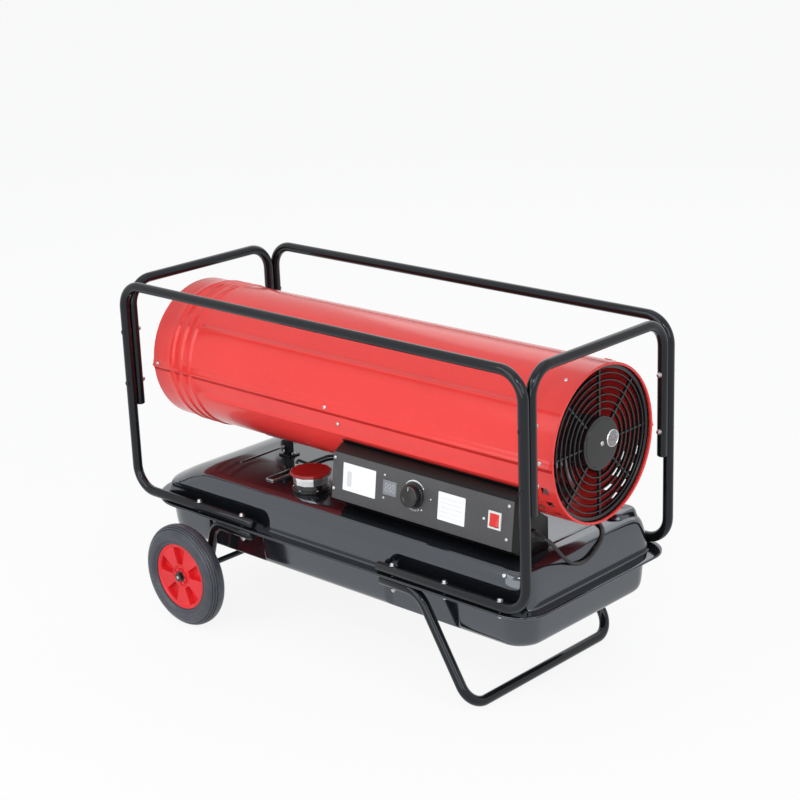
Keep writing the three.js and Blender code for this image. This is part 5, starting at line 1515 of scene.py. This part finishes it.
def skin_stations():
    """Places along the cylinder: close together at the ribs, the beads' ends and the slots."""
    stations = set()
    x = BODY_OUTLET_X + 2
    while x < BODY_INLET_X - 1.5:
        stations.add(round(x, 2))
        if RIB_X[0] - 10 < x < RIB_X[2] + 30:
            x += 1.6
        elif x > 460:
            x += 5.0
        else:
            x += 12.0
    stations.add(BODY_INLET_X - 1.5)
    for slot_x, _ in AIR_SLOTS:
        stations |= {slot_x - AIR_SLOT_HALF, slot_x + AIR_SLOT_HALF}
    return sorted(stations)


def skin_angles(start, end, centres):
    """Angles round the cylinder, closer at the beads."""
    angles = {start, end}
    a = start
    while a < end:
        near = min(abs(off_angle(a, c)) for c in centres)
        a += 0.36 if near < 2.9 else 2.4
        angles.add(min(round(a, 3), end))
    for centre in slot_angles(None):
        for edge in (centre - SLOT_HALF_ANGLE, centre + SLOT_HALF_ANGLE):
            if start < edge < end:
                angles.add(round(edge, 3))
    return sorted(angles)


def slot_angles(x):
    """Middles of the punched air slots round the cylinder at a place along it, or of them all."""
    found = []
    for slot_x, downs in AIR_SLOTS:
        if x is None or abs(x - slot_x) < AIR_SLOT_HALF:
            for down in downs:
                found += [180 + down, 360 - down]
    return found


def body_shell(start, end, beads, lower):
    """Half of the cylinder, pressed sheet with rolled ends; the lower half has slots and seams."""
    shape = Shape()
    stations = skin_stations()
    angles = skin_angles(start, end, [bead[0] for bead in beads])
    r = sizes().body_radius

    def open_cell(x, angle):
        return lower and any(abs(angle - centre) < SLOT_HALF_ANGLE for centre in slot_angles(x))

    shape.sheet(stations, angles, lambda x, a: skin_place(skin_radius(x, a, beads), x, a),
                lambda x, a: skin_place(r - SHEET, x, a), open_cell)
    for x, lean in ((BODY_OUTLET_X + 2.3, 1), (BODY_INLET_X - 2.2, -1)):
        rings = []
        for angle in angles[::3] + [angles[-1]]:
            rings.append([skin_place(r - 2.5 + 2.3 * cos(t), x - lean * 0.1 + 2.2 * sin(t), angle)
                          for t in full_circle(12)])
        shape.loft(rings)
    if lower:
        for side in (-1, 1):
            seam_ridge(shape, side, BODY_OUTLET_X + 1.5, BODY_INLET_X - 2)
    return shape


def seam_ridge(shape, side, x0, x1):
    """Lap of the side seam: it rises gently from above, ends below in a rolled lip over painted
    shade.
    """
    r = sizes().body_radius
    middle = 0.0 if side > 0 else 180.0
    lip = soft_corners([(3.6, r - 0.6), (3.2, r + 0.5), (1.2, r + 1.6), (-0.6, r + 2.2),
                        (-1.3, r + 4.0), (-2.0, r + 4.7), (-2.7, r + 4.2), (-2.9, r + 2.6),
                        (-2.5, r + 0.3), (0, r - 0.6)], 0.3, 2)
    # a darker red strip under the lip, painted shade of the lap's groove
    painted_shade_strip = [(-2.0, r - 0.4), (-2.0, r + 2.0), (-3.0, r + 1.6), (-5.4, r + 0.4), (-5.8, r - 0.4)]
    for mark, section in enumerate((lip, painted_shade_strip)):
        shape.mark = mark
        rings = []
        for x in (x0 + 0.5 * mark, x0 + 0.8, x1 - 0.8, x1 - 0.5 * mark):
            shrink = 0.25 if x in (x0, x1) else 0.0
            rings.append([skin_place(radius - shrink, x, middle + side * angle)
                          for angle, radius in section])
        shape.loft(rings)
    shape.mark = 0


class HEATER_OT_cylinder(bpy.types.Operator):
    """Rolls the two red shells, with their ribs, beads, seam, slots and screws"""

    bl_idname = "heater.cylinder"
    bl_label = "Burner cylinder"

    def execute(self, context):
        upper = body_shell(0.06, 179.94, UPPER_BEADS, False)
        upper.fit("cylinder_upper", "body_paint", node="body_upper_shell", crease=45)
        lower = body_shell(180.06, 359.94, LOWER_BEADS, True)
        lower.fit("cylinder_lower", "body_paint", "seam_gap", node="body_lower_shell", crease=45)
        self.screws()
        for name, x in POSTS:
            self.post(name, x)
        return {"FINISHED"}

    def screws(self):
        """Screws on the seams, below and above them and in the saddles, and a red tab on top."""
        shape = Shape()
        for seam, low_angle, high_angle in ((0, -11.3, 62), (180, 191.3, 118)):
            for x in (-510, -18, 508):
                shape.pan_screw(at_body(x, seam, 1.7), 4.2, 2.6)
            shape.pan_screw(at_body(12, low_angle, 0.1), 4.2, 2.6)
            shape.pan_screw(at_body(505, high_angle, 0.1), 3.6, 2.2)
        for _, x in POSTS:
            for angle in (258, 282):
                shape.pan_screw(at_body(x + 14, angle, 3.9), 3.4, 1.8)
        shape.mark = 1
        shape.slab(at_body(503, 68, 0.2), 8, 14, 0, 1.6, 2, 0.4)
        shape.fit("cylinder_screws", "screw_zinc", "body_paint", slot="axle_steel")

    def post(self, name, x):
        """Folded post on the deck, with a foot plate and a saddle under the cylinder."""
        shape = Shape()
        r = sizes().body_radius
        across = [x - 22, x - 21.4, x - 8, x + 8, x + 21.4, x + 22]
        angles = [254 + 32 * k / 14 for k in range(15)]
        shape.sheet(angles, across, lambda a, px: skin_place(r + 0.8, px, a),
                    lambda a, px: skin_place(r + 3.7, px, a))
        top = AXIS_Z - r - 3
        middle = (DECK_Z + top) / 2
        half = (top - DECK_Z) / 2
        for px, py, width, depth in ((0, -6, 14, 2), (-6, 0, 2, 14), (6, 0, 2, 14)):
            shape.slab(at(x + px, py, middle), width, depth,
                       -half + 0.4, half, 0.8, 0.3)
        shape.slab(at(x, 0, DECK_Z), 36, 32, 0.3, 3.2, 5, 0.6)
        shape.mark = 1
        for px in (-13, 13):
            shape.hexagon(at(x + px, 0, DECK_Z + 3.2), 9, 0, 3.6)
        node = f"body_support_{name}"
        shape.fit(f"{node}_post", "frame_paint", "screw_zinc", node=node, slot="tank_paint")


class HEATER_OT_burner(bpy.types.Operator):
    """Makes the hot parts inside the cylinder"""

    bl_idname = "heater.burner"
    bl_label = "Burner"

    def execute(self, context):
        place = on_axis()
        chamber = Shape()
        chamber.turned([(48, 172), (104, 172), (107, 171), (108, 168), (108, 60), (109.5, 56),
                        (108, 52), (108, -200), (109.5, -204), (108, -208), (108, -470),
                        (106, -470), (106, 168), (104, 170), (48, 170)], place, 96)
        chamber.fit("chamber_drum", "chamber_steel", node="combustion_chamber")
        self.cone(place)
        for node, slot in (("chamber_spider_outlet", "chamber_steel"),
                           ("chamber_spider_burner", "chamber_steel"),
                           ("burner_head", "chamber_steel"), ("fuel_nozzle", "fuel_brass"),
                           ("spark_plug", "ceramic_white"), ("flame_sensor", "control_plastic")):
            repaint(node, slot)
        return {"FINISHED"}

    def cone(self, place):
        """Outlet cone, with a baffle disc held by three arms in its mouth."""
        cone = Shape()
        cone.turned(soft_corners([(108.3, -450), (110.3, -450), (110.3, -474), (104, -492),
                                  (92, -511), (90, -512), (88.4, -510.5), (102, -491),
                                  (108.3, -471)], 0.6), place, 96)
        cone.turned([(0, -504.5), (40, -504.5), (47, -506), (48, -505.2), (47.4, -503.4),
                     (40, -502.6), (0, -502.6)], place, 72)
        for degrees in (90, 210, 330):
            turn = spun(place, radians(degrees))
            cone.slab(spun(moved(turn, 67, 0, -505), pi / 2), 10, 52, -1, 1, 1, 0.5)
            cone.pan_screw(moved(turn, 45, 0, -506) @ TURNED_OVER, 2.6, 1.6)
        cone.fit("outlet_cone_ring", "chamber_steel", node="outlet_cone")


# ---- fan, motor and guard
# the blade at a few radii: (radius, chord, pitch in degrees)
BLADE_STATIONS = ((28, 26, 50), (62, 40, 38), (100, 54, 30), (128, 56, 25), (136, 44, 23))
BLADES = 5
BLADE_ROOT_R = 28
BLADE_LENGTH = 107.6
BLADE_RINGS = 15


def blade_at(radius):
    """Chord and pitch of the blade at a radius."""
    for (r0, c0, p0), (r1, c1, p1) in zip(BLADE_STATIONS, BLADE_STATIONS[1:]):
        if radius <= r1:
            t = (radius - r0) / (r1 - r0)
            return c0 + (c1 - c0) * t, p0 + (p1 - p0) * t
    return BLADE_STATIONS[-1][1:]


def make_fan():
    """Five pressed blades on a spun hub."""
    shape = Shape()
    shape.turned(soft_corners([(6.3, FAN_X - 16), (26, FAN_X - 16), (32, FAN_X - 8),
                               (32, FAN_X + 16), (6.3, FAN_X + 16)], 1.2), on_axis(), 56)
    for blade in range(BLADES):
        turn = 2 * pi * blade / BLADES
        rings = []
        for k in range(BLADE_RINGS):
            radius = BLADE_ROOT_R + BLADE_LENGTH * k / (BLADE_RINGS - 1)
            chord, pitch = blade_at(radius)
            if k == BLADE_RINGS - 1:
                chord *= 0.9
            a = radians(pitch)
            ring = []
            for t in full_circle(16):
                c = -0.5 * cos(t)
                thick = 0.9 * sin(t) + 1.6 * (0.25 - c * c)
                along = c * chord * cos(a) - thick * sin(a)
                axial = c * chord * sin(a) + thick * cos(a)
                sweep = along / radius
                ring.append(Vector((FAN_X + axial, radius * sin(turn + sweep),
                                    AXIS_Z + radius * cos(turn + sweep))))
            rings.append(ring)
        shape.loft(rings)
    shape.fit("fan_wheel", "fan_aluminium", node="fan", body="fan_rotor")


def make_motor():
    """Motor with end bells, a laminated stack between them and through bolts."""
    place = on_axis()
    x0, x1 = MOTOR_X0, MOTOR_X1
    mid = (x0 + x1) / 2
    profile = [(6.1, x0 - 8), (16.6, x0 - 8), (18, x0 - 7), (20, x0), (44, x0 + 1.2),
               (47, x0 + 2.6), (54, x0 + 9), (56, x0 + 12), (56, mid - 26), (53, mid - 25.6)]
    for k in range(13):
        x = mid - 24 + 4 * k
        profile += [(53.4, x - 1.6), (53.4, x + 1.0), (52.6, x + 1.4), (52.6, x + 2.0)]
    profile += [(53, mid + 25.8), (56, mid + 26), (56, x1 - 12), (54, x1 - 5), (48, x1), (6.1, x1)]
    shape = Shape()
    shape.turned(profile, place, 64)
    shape.mark = 1
    facing_back = at(0, 0, x0 + 1) @ TURNED_OVER
    for k in range(4):
        spot = round_about(place, 42, radians(45 + 90 * k), 0)
        shape.hexagon(spot @ facing_back, 8, -1, 4)
    shape.fit("fan_motor_case", "motor_paint", "screw_zinc", node="fan_motor")


def make_pump():
    """Air pump: machined ring, ribbed cover and cover screws."""
    place = on_axis()
    ring = Shape()
    ring.turned(soft_corners([(6.1, 444.3), (44, 444.3), (44, 478), (32, 478), (32, 450),
                              (6.1, 450)], 0.6), place, 72)
    ring.fit("pump_ring", "pump_aluminium", node="pump_body")
    cover = Shape()
    cover.turned(soft_corners([(0, 478.3), (46, 478.3), (46, 499), (41, 504), (30, 504), (28, 502),
                               (0, 502)], 1.0, closed=False), place, 72)
    for k in range(12):
        turn = spun(place, pi / 6 * k)
        cover.slab(moved(turn, 45.4, 0, 0), 2.6, 3, 481, 497, 1, 0.4, 2)
    cover.mark = 1
    for k in range(6):
        cover.pan_screw(round_about(place, 36, pi / 3 * k + 0.3, 503.9), 3, 1.8)
    cover.fit("pump_cover_cap", "pump_plastic", "screw_zinc", node="pump_cover")


class HEATER_OT_fan(bpy.types.Operator):
    """Makes the fan, its motor and the air pump"""

    bl_idname = "heater.fan"
    bl_label = "Fan, motor and pump"

    def execute(self, context):
        make_fan()
        make_motor()
        make_pump()
        repaint("motor_shaft", "axle_steel")
        repaint("pump_rotor", "axle_steel")
        repaint("motor_cradle", "axle_steel")
        return {"FINISHED"}


class HEATER_OT_guard(bpy.types.Operator):
    """Makes the round wire guard and the pressure gauge in it"""

    bl_idname = "heater.guard"
    bl_label = "Guard and gauge"

    def execute(self, context):
        self.guard()
        self.gauge()
        return {"FINISHED"}

    def guard(self):
        place = on_axis()
        x0, x1 = GUARD_X0, GUARD_X1
        rim_r = 145.0
        shape = Shape()
        shape.turned(soft_corners([(rim_r - 9, x0), (rim_r, x0), (rim_r, x1), (rim_r - 6, x1),
                                   (rim_r - 9, x1 - 2)], 0.9), place, 128)
        for r in (63, 76, 89, 102, 115, 128):
            shape.turned(soft_corners([(r - 1.4, x0 + 2), (r + 1.4, x0 + 2), (r + 1.2, x1 - 1),
                                       (r - 1.2, x1 - 1)], 0.9, 3), place, 96)
        for k in range(8):
            spoke = moved(spun(place, pi / 4 * k), 92, 0, 0)
            shape.slab(spoke, 94, 4.2, x0 + 0.6, x0 + 6.6, 1.2, 0.8, 3)
        self.disc(shape, place)
        shape.mark = 1
        shape.pan_screw(moved(place, 0, 0, x1 + 1.4), 4.6, 2.4)
        shape.fit("guard_grille", "guard_black", "screw_zinc", node="fan_guard")

    def disc(self, shape, place):
        """Closed middle of the guard, its face drawn up to a small flat off its middle."""
        x0, x1 = GUARD_X0, GUARD_X1

        def circle(radius, height, shift=0):
            return [place @ Vector((radius * cos(a) - shift, radius * sin(a), height))
                    for a in full_circle(72)]

        shape.loft([circle(radius, height) for radius, height in
                    ((49.4, x0), (50, x0 + 0.8), (50, x1 - 0.9), (49.3, x1), (45, x1 + 0.3),
                     (44, x1 + 1.5))], True, False)
        face = x1 + 1.5
        outer, inner, middle = [
            [shape.point(p) for p in circle(*ring)]
            for ring in ((44, face), (4, face + 0.6, 8), (22, face + 0.2, 3))]
        shape.bridge(outer, middle)
        shape.bridge(middle, inner)
        shape.face(*inner)

    def gauge(self):
        y, up = GAUGE_SHIFT
        place = facing((0, y, AXIS_Z + up), (1, 0, 0))
        shape = Shape()
        shape.turned([(0, 504.3), (5, 504.3), (5, 514.5), (15.6, 515), (16.6, 516), (17, 517.5),
                      (17, 529.6), (16.6, 531.2), (15.8, 532), (15.1, 531.4), (14.9, 530.2),
                      (14.6, 529.5), (0, 529.5)], place, 56)
        shape.mark = 1
        shape.turned([(0, 529.5), (14.5, 529.5), (14.5, 529.62), (0, 529.62)], place, 48)
        shape.mark = 2
        span = sizes().dial_span
        for k in range(13):
            turn = spun(place, radians(90) + span / 2 - span * k / 12)
            middle, length = (12.2, 3.0) if k % 3 == 0 else (12.8, 1.7)
            shape.slab(moved(turn, middle, 0, 0), length, 0.5, 529.6, 529.72, 0.1, 0.02, 1)
        shape.fit("pressure_gauge_case", "gauge_chrome", "label_white", "dark_well",
                  node="pressure_gauge")
        lens = Shape()
        lens.turned([(0, 531.5), (10, 531.4), (15, 530.9), (15, 531.3), (10, 531.8),
                     (0, 531.95)], place, 48)
        lens.fit("pressure_gauge_lens", "lens_clear", slot="gauge_chrome")
        repaint("gauge_needle", "needle_red")


# ---- control box
def box_outline():
    """Side view of the control box behind its panel: (y, z, corner radius) points."""
    clear = sizes().body_radius + 4

    def on_front(v):
        place = on_panel(0, v, -1.8).translation
        return place.y, place.z

    a = radians(119)
    under_body = [(-clear * y, AXIS_Z - clear * z, 0)
                  for y, z in ((0.92, 0.392), (0.84, 0.5426), (0.77, 0.638), (0.7, 0.7141))]
    return [(*on_front(0), 1.0), (*on_front(PANEL_H), 2.5), (-139, 426, 3.0),
            (-clear * sin(a), AXIS_Z + clear * cos(a), 1.0), *under_body,
            (-68, AXIS_Z - sqrt(clear * clear - 68 * 68), 1.0), (-68, DECK_Z + 0.3, 1.0),
            (-138, DECK_Z + 0.3, 1.5)]


class HEATER_OT_control_box(bpy.types.Operator):
    """Folds the control box and fixes its panel, labels and screws"""

    bl_idname = "heater.control_box"
    bl_label = "Control box"

    def execute(self, context):
        self.case()
        self.panel()
        self.labels()
        for node, slot in (("circuit_board", "board_green"),
                           ("ignition_transformer", "control_plastic"),
                           ("thermostat", "control_plastic")):
            repaint(node, slot)
        return {"FINISHED"}

    def case(self):
        """Folded case with a row of vents in each end, fewer where the lead comes out; the vents
        are black plates of painted shade.
        """
        shape = Shape()
        outline = soft_corners(box_outline(), 1.0, 3)
        middle = Vector((-112, 360))
        rings = []
        for x, inset in ((15.5, 1.2), (15.9, 0.4), (16.8, 0.0), (459.2, 0.0), (460.1, 0.4),
                         (460.5, 1.2)):
            ring = []
            for y, z in outline:
                pull = (middle - Vector((y, z))).normalized() * inset
                ring.append(Vector((x, y + pull.x, z + pull.y)))
            rings.append(ring)
        shape.loft(rings)
        # black vent plates: painted shade, not openings
        shape.mark = 1
        for k in range(5):
            for x, way in ((15.5, -1), (460.5, 1)):
                if way < 0 or k > 0:
                    vent = facing((x, -128, 352 + 11 * k), (way, 0, 0))
                    shape.slab(vent, 32, 3, -0.4, 0.25, 1.4, 0.2)
        shape.fit("control_box_case", "box_paint", "dark_well", node="control_box",
                  slot="panel_paint")

    def panel(self):
        shape = Shape()
        openings = ((*DISPLAY_AT, 34.6, 28.6), (*SWITCH_AT, 26.6, 29.6), (*DIAL_AT, 12, 12))
        across = {PANEL_X0, PANEL_X0 + 0.5, PANEL_X1 - 0.5, PANEL_X1}
        upward = {0.0, 0.5, PANEL_H - 0.5, PANEL_H}
        for u, v, width, height in openings:
            across |= {u - width / 2, u + width / 2}
            upward |= {v - height / 2, v + height / 2}
        for k in range(1, 30):
            across.add(PANEL_X0 + (PANEL_X1 - PANEL_X0) * k / 30)
        base = on_panel(0, 0)

        def outer(u, v):
            near = min(u - PANEL_X0, PANEL_X1 - u, v, PANEL_H - v)
            return base @ Vector((u, v, -0.35 if near < 0.1 else 0))

        def opened(u, v):
            return any(abs(u - middle_u) < width / 2 and abs(v - middle_v) < height / 2
                       for middle_u, middle_v, width, height in openings)

        shape.sheet(sorted(across), sorted(upward), outer,
                    lambda u, v: base @ Vector((u, v, -1.5)), opened)
        shape.mark = 1
        for u, v in ((21, 81), (20, 20), (451, 82), (449, 20)):
            shape.pan_screw(on_panel(u, v), 3.6, 2.2)
        for u, v in ((151, 74), (150, 30)):
            shape.pan_screw(on_panel(u, v), 2.7, 1.8)
        shape.fit("control_panel_plate", "panel_paint", "screw_zinc", node="control_panel")

    def labels(self):
        """Plain white plates with faint rules, the strokes round the dial and a pilot lamp."""
        shape = Shape()
        for u0, u1, v0, v1 in ((43, 128, 22, 76), (285, 350, 20, 73)):
            shape.slab(on_panel((u0 + u1) / 2, (v0 + v1) / 2), u1 - u0, v1 - v0,
                       0, 0.25, 1.5, 0.08, 3)
        shape.mark = 1
        for k in range(5):
            shorter = k % 2
            shape.slab(on_panel(317.5 - 1.5 * shorter, 62 - 8.5 * k), 50 - 3 * shorter, 0.9,
                       0.2, 0.28, 0.3, 0.02, 1)
        shape.slab(on_panel(60, 46), 12, 30, 0.2, 0.27, 4, 0.02, 3)
        shape.mark = 0
        self.dial_marks(shape)
        shape.turned([(0, 0), (2.6, 0), (2.6, 0.8), (2.0, 1.8), (1.0, 2.2), (0, 2.3)],
                     on_panel(395, 47), 24)
        shape.fit("panel_labels", "label_white", "label_rule", slot="switch_white")

    def dial_marks(self, shape):
        """A tapering arc over the dial, three dots round it and short strokes below it."""
        centre = on_panel(*DIAL_AT)
        low, high = 0.02, 0.14
        rings = []
        for k in range(25):
            a = radians(142 - 102 * k / 24)
            wide = 2.6 * (0.25 + 0.75 * sin(pi * k / 24))
            inner, outer = 27 - wide / 2 + 1, 27 + wide / 2 + 1
            rings.append([centre @ Vector((r * cos(a), r * sin(a), w))
                          for r, w in ((inner, low), (outer, low), (outer, high), (inner, high))])
        shape.loft(rings)
        for degrees, radius in ((38, 27.8), (2, 41), (-50, 31)):
            shape.turned([(0, low), (1.5, low), (1.5, high), (0, high)],
                         round_about(centre, radius, radians(degrees), 0), 20)
        for k in range(8):
            turn = spun(centre, radians(-62 - 56 * k / 7))
            shape.slab(moved(turn, 28, 0, 0), 3.2, 0.9, low, high, 0.2, 0.02, 1)


# the seven bars of one display figure: (across, up, width, height)
SEGMENTS = (
    (0, 7.6, 4.4, 1.0), (0, 0, 4.4, 1.0), (0, -7.6, 4.4, 1.0),
    (-2.9, 3.8, 1.0, 5.8), (2.9, 3.8, 1.0, 5.8), (-2.9, -3.8, 1.0, 5.8), (2.9, -3.8, 1.0, 5.8),
)


class HEATER_OT_controls(bpy.types.Operator):
    """Makes the knob, the rocker switch, the display and the cable gland"""

    bl_idname = "heater.controls"
    bl_label = "Controls"

    def execute(self, context):
        self.knob()
        self.switch()
        self.display()
        self.gland()
        return {"FINISHED"}

    def knob(self):
        place = on_panel(*DIAL_AT)

        def fluted(radius, height, angle):
            if radius < 19 or height < 4.5:
                return radius, height
            return radius - 0.45 * (0.5 + 0.5 * cos(angle * 36)), height

        shape = Shape()
        shape.turned([(0, -9.8), (4, -9.8), (4, 0.6), (22.6, 0.6), (23.5, 1.3), (23.5, 3.4),
                      (22.9, 4.2), (22.4, 5), (21.4, 15), (20.6, 17), (19, 17.9), (15, 17.8),
                      (13.6, 17.2), (0, 17.0)], place, 144, fluted)
        shape.slab(moved(place, 0, 13.5, 0), 2.0, 10.5, 16.9, 18.3, 0.9, 0.3)
        shape.mark = 1
        shape.slab(moved(place, 0, 15, 0), 1.1, 7.2, 18.2, 18.45, 0.5, 0.05)
        shape.fit("thermostat_dial", "knob_black", "label_white", node="thermostat_knob",
                  body="knob", crease=30)

    def switch(self):
        """White frame with a deep well behind it, and the red rocker on its pivot."""
        place = on_panel(*SWITCH_AT)
        shape = Shape()

        def outer(u, v):
            edge = min(15 - abs(u), 16.5 - abs(v))
            return place @ Vector((u, v, 2.6 - 1.2 * (1 - eased(edge, 0, 0.8))))

        shape.sheet([-15, -14.2, -10.8, 10.8, 14.2, 15], [-16.5, -15.7, -12.6, 12.6, 15.7, 16.5],
                    outer, lambda u, v: place @ Vector((u, v, 0.3)),
                    lambda u, v: abs(u) < 10.8 and abs(v) < 12.6)
        for u, v, width, height in ((-11.9, 0, 2.2, 29), (11.9, 0, 2.2, 29),
                                    (0, -13.55, 26, 1.9), (0, 13.55, 26, 1.9)):
            shape.slab(moved(place, u, v, 0), width, height, -22, 0.8, 0.4, 0.2, 2)
        shape.slab(place, 25, 28, -22, -13.2, 0.6, 0.3, 2)
        shape.fit("switch_frame", "switch_white", node="switch_housing")
        pivot = moved(place, 0, 0, -3) @ Matrix.Rotation(radians(-8), 4, "X")
        outline = soft_corners([(-11.6, -1), (-11.6, 6.6, 0.9), (-5, 5.5, 3), (0, 5.2, 4),
                                (5, 5.5, 3), (11.6, 6.6, 0.9), (11.6, -1), (0, -5.5)], 0.6, 3)
        rocker = Shape()
        rings = []
        for x, inset in ((-10.2, 0.5), (-10.0, 0.15), (-9.6, 0), (9.6, 0), (10.0, 0.15),
                         (10.2, 0.5)):
            rings.append([pivot @ Vector((x, v * (1 - inset / 12), w - (inset if w > 0 else 0)))
                          for v, w in outline])
        rocker.loft(rings)
        rocker.fit("switch_key", "switch_red", node="switch_rocker", body="rocker")

    def display(self):
        """Display block in a thin bezel, with three figures of seven pale bars."""
        place = on_panel(*DISPLAY_AT)
        shape = Shape()
        shape.slab(place, 34, 28, -9, 0.5, 1.2, 0.3)

        def outer(u, v):
            return place @ Vector((u, v, 0.9 if abs(u) < 16.9 and abs(v) < 13.9 else 0.5))

        shape.sheet([-17, -16.4, -14.2, 14.2, 16.4, 17], [-14, -13.4, -11, 11, 13.4, 14],
                    outer, lambda u, v: place @ Vector((u, v, 0.2)),
                    lambda u, v: abs(u) < 14.2 and abs(v) < 11)
        shape.mark = 1
        for centre in (-9, 0, 9):
            for u, v, width, height in SEGMENTS:
                shape.slab(moved(place, centre + u * 0.95, v, 0), width * 0.95, height,
                           0.45, 0.62, 0.4, 0.05, 2)
        shape.fit("display_window", "display_grey", "segment_pale", node="room_display")

    def gland(self):
        place = facing((0, -114, 334), (1, 0, 0))
        face = 460.8
        shape = Shape()
        shape.turned([(0, 455), (7.6, 455), (8, 455.6), (8, face), (0, face)], place, 36)
        shape.hexagon(place, 24, face, face + 5.4)
        sleeve = [(3.62, face + 5), (8.6, face + 5), (8.4, face + 8)]
        for k in range(5):
            x = face + 9 + 3.3 * k
            r = 7.6 - 0.5 * k
            sleeve += [(r, x), (r, x + 1.6), (r - 1.0, x + 2.0), (r - 1.0, x + 2.9)]
        sleeve += [(5.2, face + 25.6), (4.6, face + 26), (3.62, face + 26)]
        shape.turned(sleeve, place, 36)
        shape.fit("lead_gland", "gland_black", node="cord_gland")


# ---- stage
def shown_rays(nodes, links):
    """1 for the rays that show the background: the camera's, reflected and refracted ones."""
    path = nodes.new("ShaderNodeLightPath")
    shown = path.outputs["Is Camera Ray"]
    for kind in ("Is Glossy Ray", "Is Transmission Ray"):
        either = nodes.new("ShaderNodeMath")
        either.operation = "MAXIMUM"
        links.new(shown, either.inputs[0])
        links.new(path.outputs[kind], either.inputs[1])
        shown = either.outputs[0]
    return shown


def mix_surfaces(nodes, links, share, lit, shown, output):
    """Shows one shader instead of another, by a share, on an output's surface."""
    mix = nodes.new("ShaderNodeMixShader")
    links.new(share, mix.inputs["Fac"])
    links.new(lit.outputs[0], mix.inputs[1])
    links.new(shown.outputs[0], mix.inputs[2])
    links.new(mix.outputs[0], nodes[output].inputs["Surface"])


# in metres and watts: name, place, width, height, power
LAMPS = (
    ("key_softbox", (-0.6, -3.4, 2.8), 3.2, 2.0, 46),
    ("fill_softbox", (3.6, -1.0, 2.2), 2.0, 2.0, 28),
    ("side_softbox", (2.2, -2.4, 2.9), 0.6, 0.6, 16),
    ("low_softbox", (0.8, -3.8, 1.0), 5.0, 1.5, 46),
    ("back_softbox", (-1.4, 3.2, 2.8), 3.4, 2.0, 18),
    ("top_softbox", (0.2, 0.0, 3.8), 2.6, 2.6, 9),
)
LAMP_AIM = Vector((0, 0, 0.4))
FLOOR_RADIUS = 60
FLOOR_DROP = 0.0005
FLOOR_SHOWN = 0.88
WHITE = (1, 1, 1, 1)
AIR_TINT = (0.92, 0.95, 1.0, 1)
AIR_STRENGTH = 0.55


class HEATER_OT_stage(bpy.types.Operator):
    """Lays the pale floor and sets the soft studio lamps"""

    bl_idname = "heater.stage"
    bl_label = "Stage"

    def execute(self, context):
        self.floor()
        self.lamps()
        self.surroundings(context)
        context.scene.view_settings.view_transform = "Standard"
        return {"FINISHED"}

    def floor(self):
        """Pale floor that shows mostly white and keeps the object's shadow."""
        mesh = bpy.data.meshes.new("studio_floor")
        disc = bmesh.new()
        bmesh.ops.create_circle(disc, cap_ends=True, segments=96, radius=FLOOR_RADIUS)
        disc.to_mesh(mesh)
        disc.free()
        finish = Finish("studio_floor", 0.85)
        tint = colours().floor_pale
        finish.coloured(tint, shaded(tint, 0.985), 0.8)
        material = finish.done()
        nodes, links = finish.nodes, finish.links
        glow = finish.layer("Emission", Color=WHITE, Strength=1.0)
        share = nodes.new("ShaderNodeMath")
        share.operation = "MULTIPLY"
        share.inputs[1].default_value = FLOOR_SHOWN
        links.new(shown_rays(nodes, links), share.inputs[0])
        mix_surfaces(nodes, links, share.outputs[0], finish.shader, glow, "Material Output")
        mesh.materials.append(material)
        floor = added("studio_floor", mesh)
        floor.location.z = -FLOOR_DROP

    def lamps(self):
        for name, place, width, height, power in LAMPS:
            lamp = bpy.data.lights.new(name, "AREA")
            lamp.shape = "RECTANGLE"
            lamp.size = width
            lamp.size_y = height
            lamp.energy = power
            stand = added(name, lamp)
            stand.location = place
            aim = LAMP_AIM - Vector(place)
            stand.rotation_euler = aim.to_track_quat("-Z", "Y").to_euler()

    def surroundings(self, context):
        """Soft air light on the object, and a white background for the rays that show it."""
        world = bpy.data.worlds.new("studio_air")
        context.scene.world = world
        world.use_nodes = True
        nodes, links = world.node_tree.nodes, world.node_tree.links
        ambient = set_sockets(nodes["Background"], Color=AIR_TINT, Strength=AIR_STRENGTH)
        backdrop = set_sockets(nodes.new("ShaderNodeBackground"), Color=WHITE, Strength=1.0)
        share = shown_rays(nodes, links)
        mix_surfaces(nodes, links, share, ambient, backdrop, "World Output")


# ---- panel and registration
OPERATORS = (
    HEATER_OT_camera, HEATER_OT_lead, HEATER_OT_stage, HEATER_OT_frame_tubes,
    HEATER_OT_frame_bolts, HEATER_OT_wheels, HEATER_OT_tank, HEATER_OT_filler,
    HEATER_OT_fuel_line, HEATER_OT_cylinder, HEATER_OT_burner, HEATER_OT_fan, HEATER_OT_guard,
    HEATER_OT_control_box, HEATER_OT_controls,
)


class HEATER_PT_sidebar(bpy.types.Panel):
    """Lists the heater's settings and the steps that build it"""

    bl_idname = "HEATER_PT_sidebar"
    bl_label = "Forced Air Heater"
    bl_space_type = "VIEW_3D"
    bl_region_type = "UI"
    bl_category = "Heater"

    def draw(self, context):
        column = self.layout.column(align=True)
        for group in (context.scene.heater_sizes, context.scene.heater_colours):
            for name in group.__annotations__:
                column.prop(group, name)
        for operator in OPERATORS:
            column.operator(operator.bl_idname)


CLASSES = (HeaterSizes, HeaterColours, *OPERATORS, HEATER_PT_sidebar)


def register():
    for cls in CLASSES:
        bpy.utils.register_class(cls)
    bpy.types.Scene.heater_sizes = bpy.props.PointerProperty(type=HeaterSizes)
    bpy.types.Scene.heater_colours = bpy.props.PointerProperty(type=HeaterColours)


def unregister():
    del bpy.types.Scene.heater_colours
    del bpy.types.Scene.heater_sizes
    for cls in reversed(CLASSES):
        bpy.utils.unregister_class(cls)


def main():
    register()
    for operator in OPERATORS:
        group, name = operator.bl_idname.split(".")
        result = getattr(getattr(bpy.ops, group), name)()
        if result != {"FINISHED"}:
            raise RuntimeError(f"{operator.bl_label} did not finish")


if __name__ == "__main__":
    main()
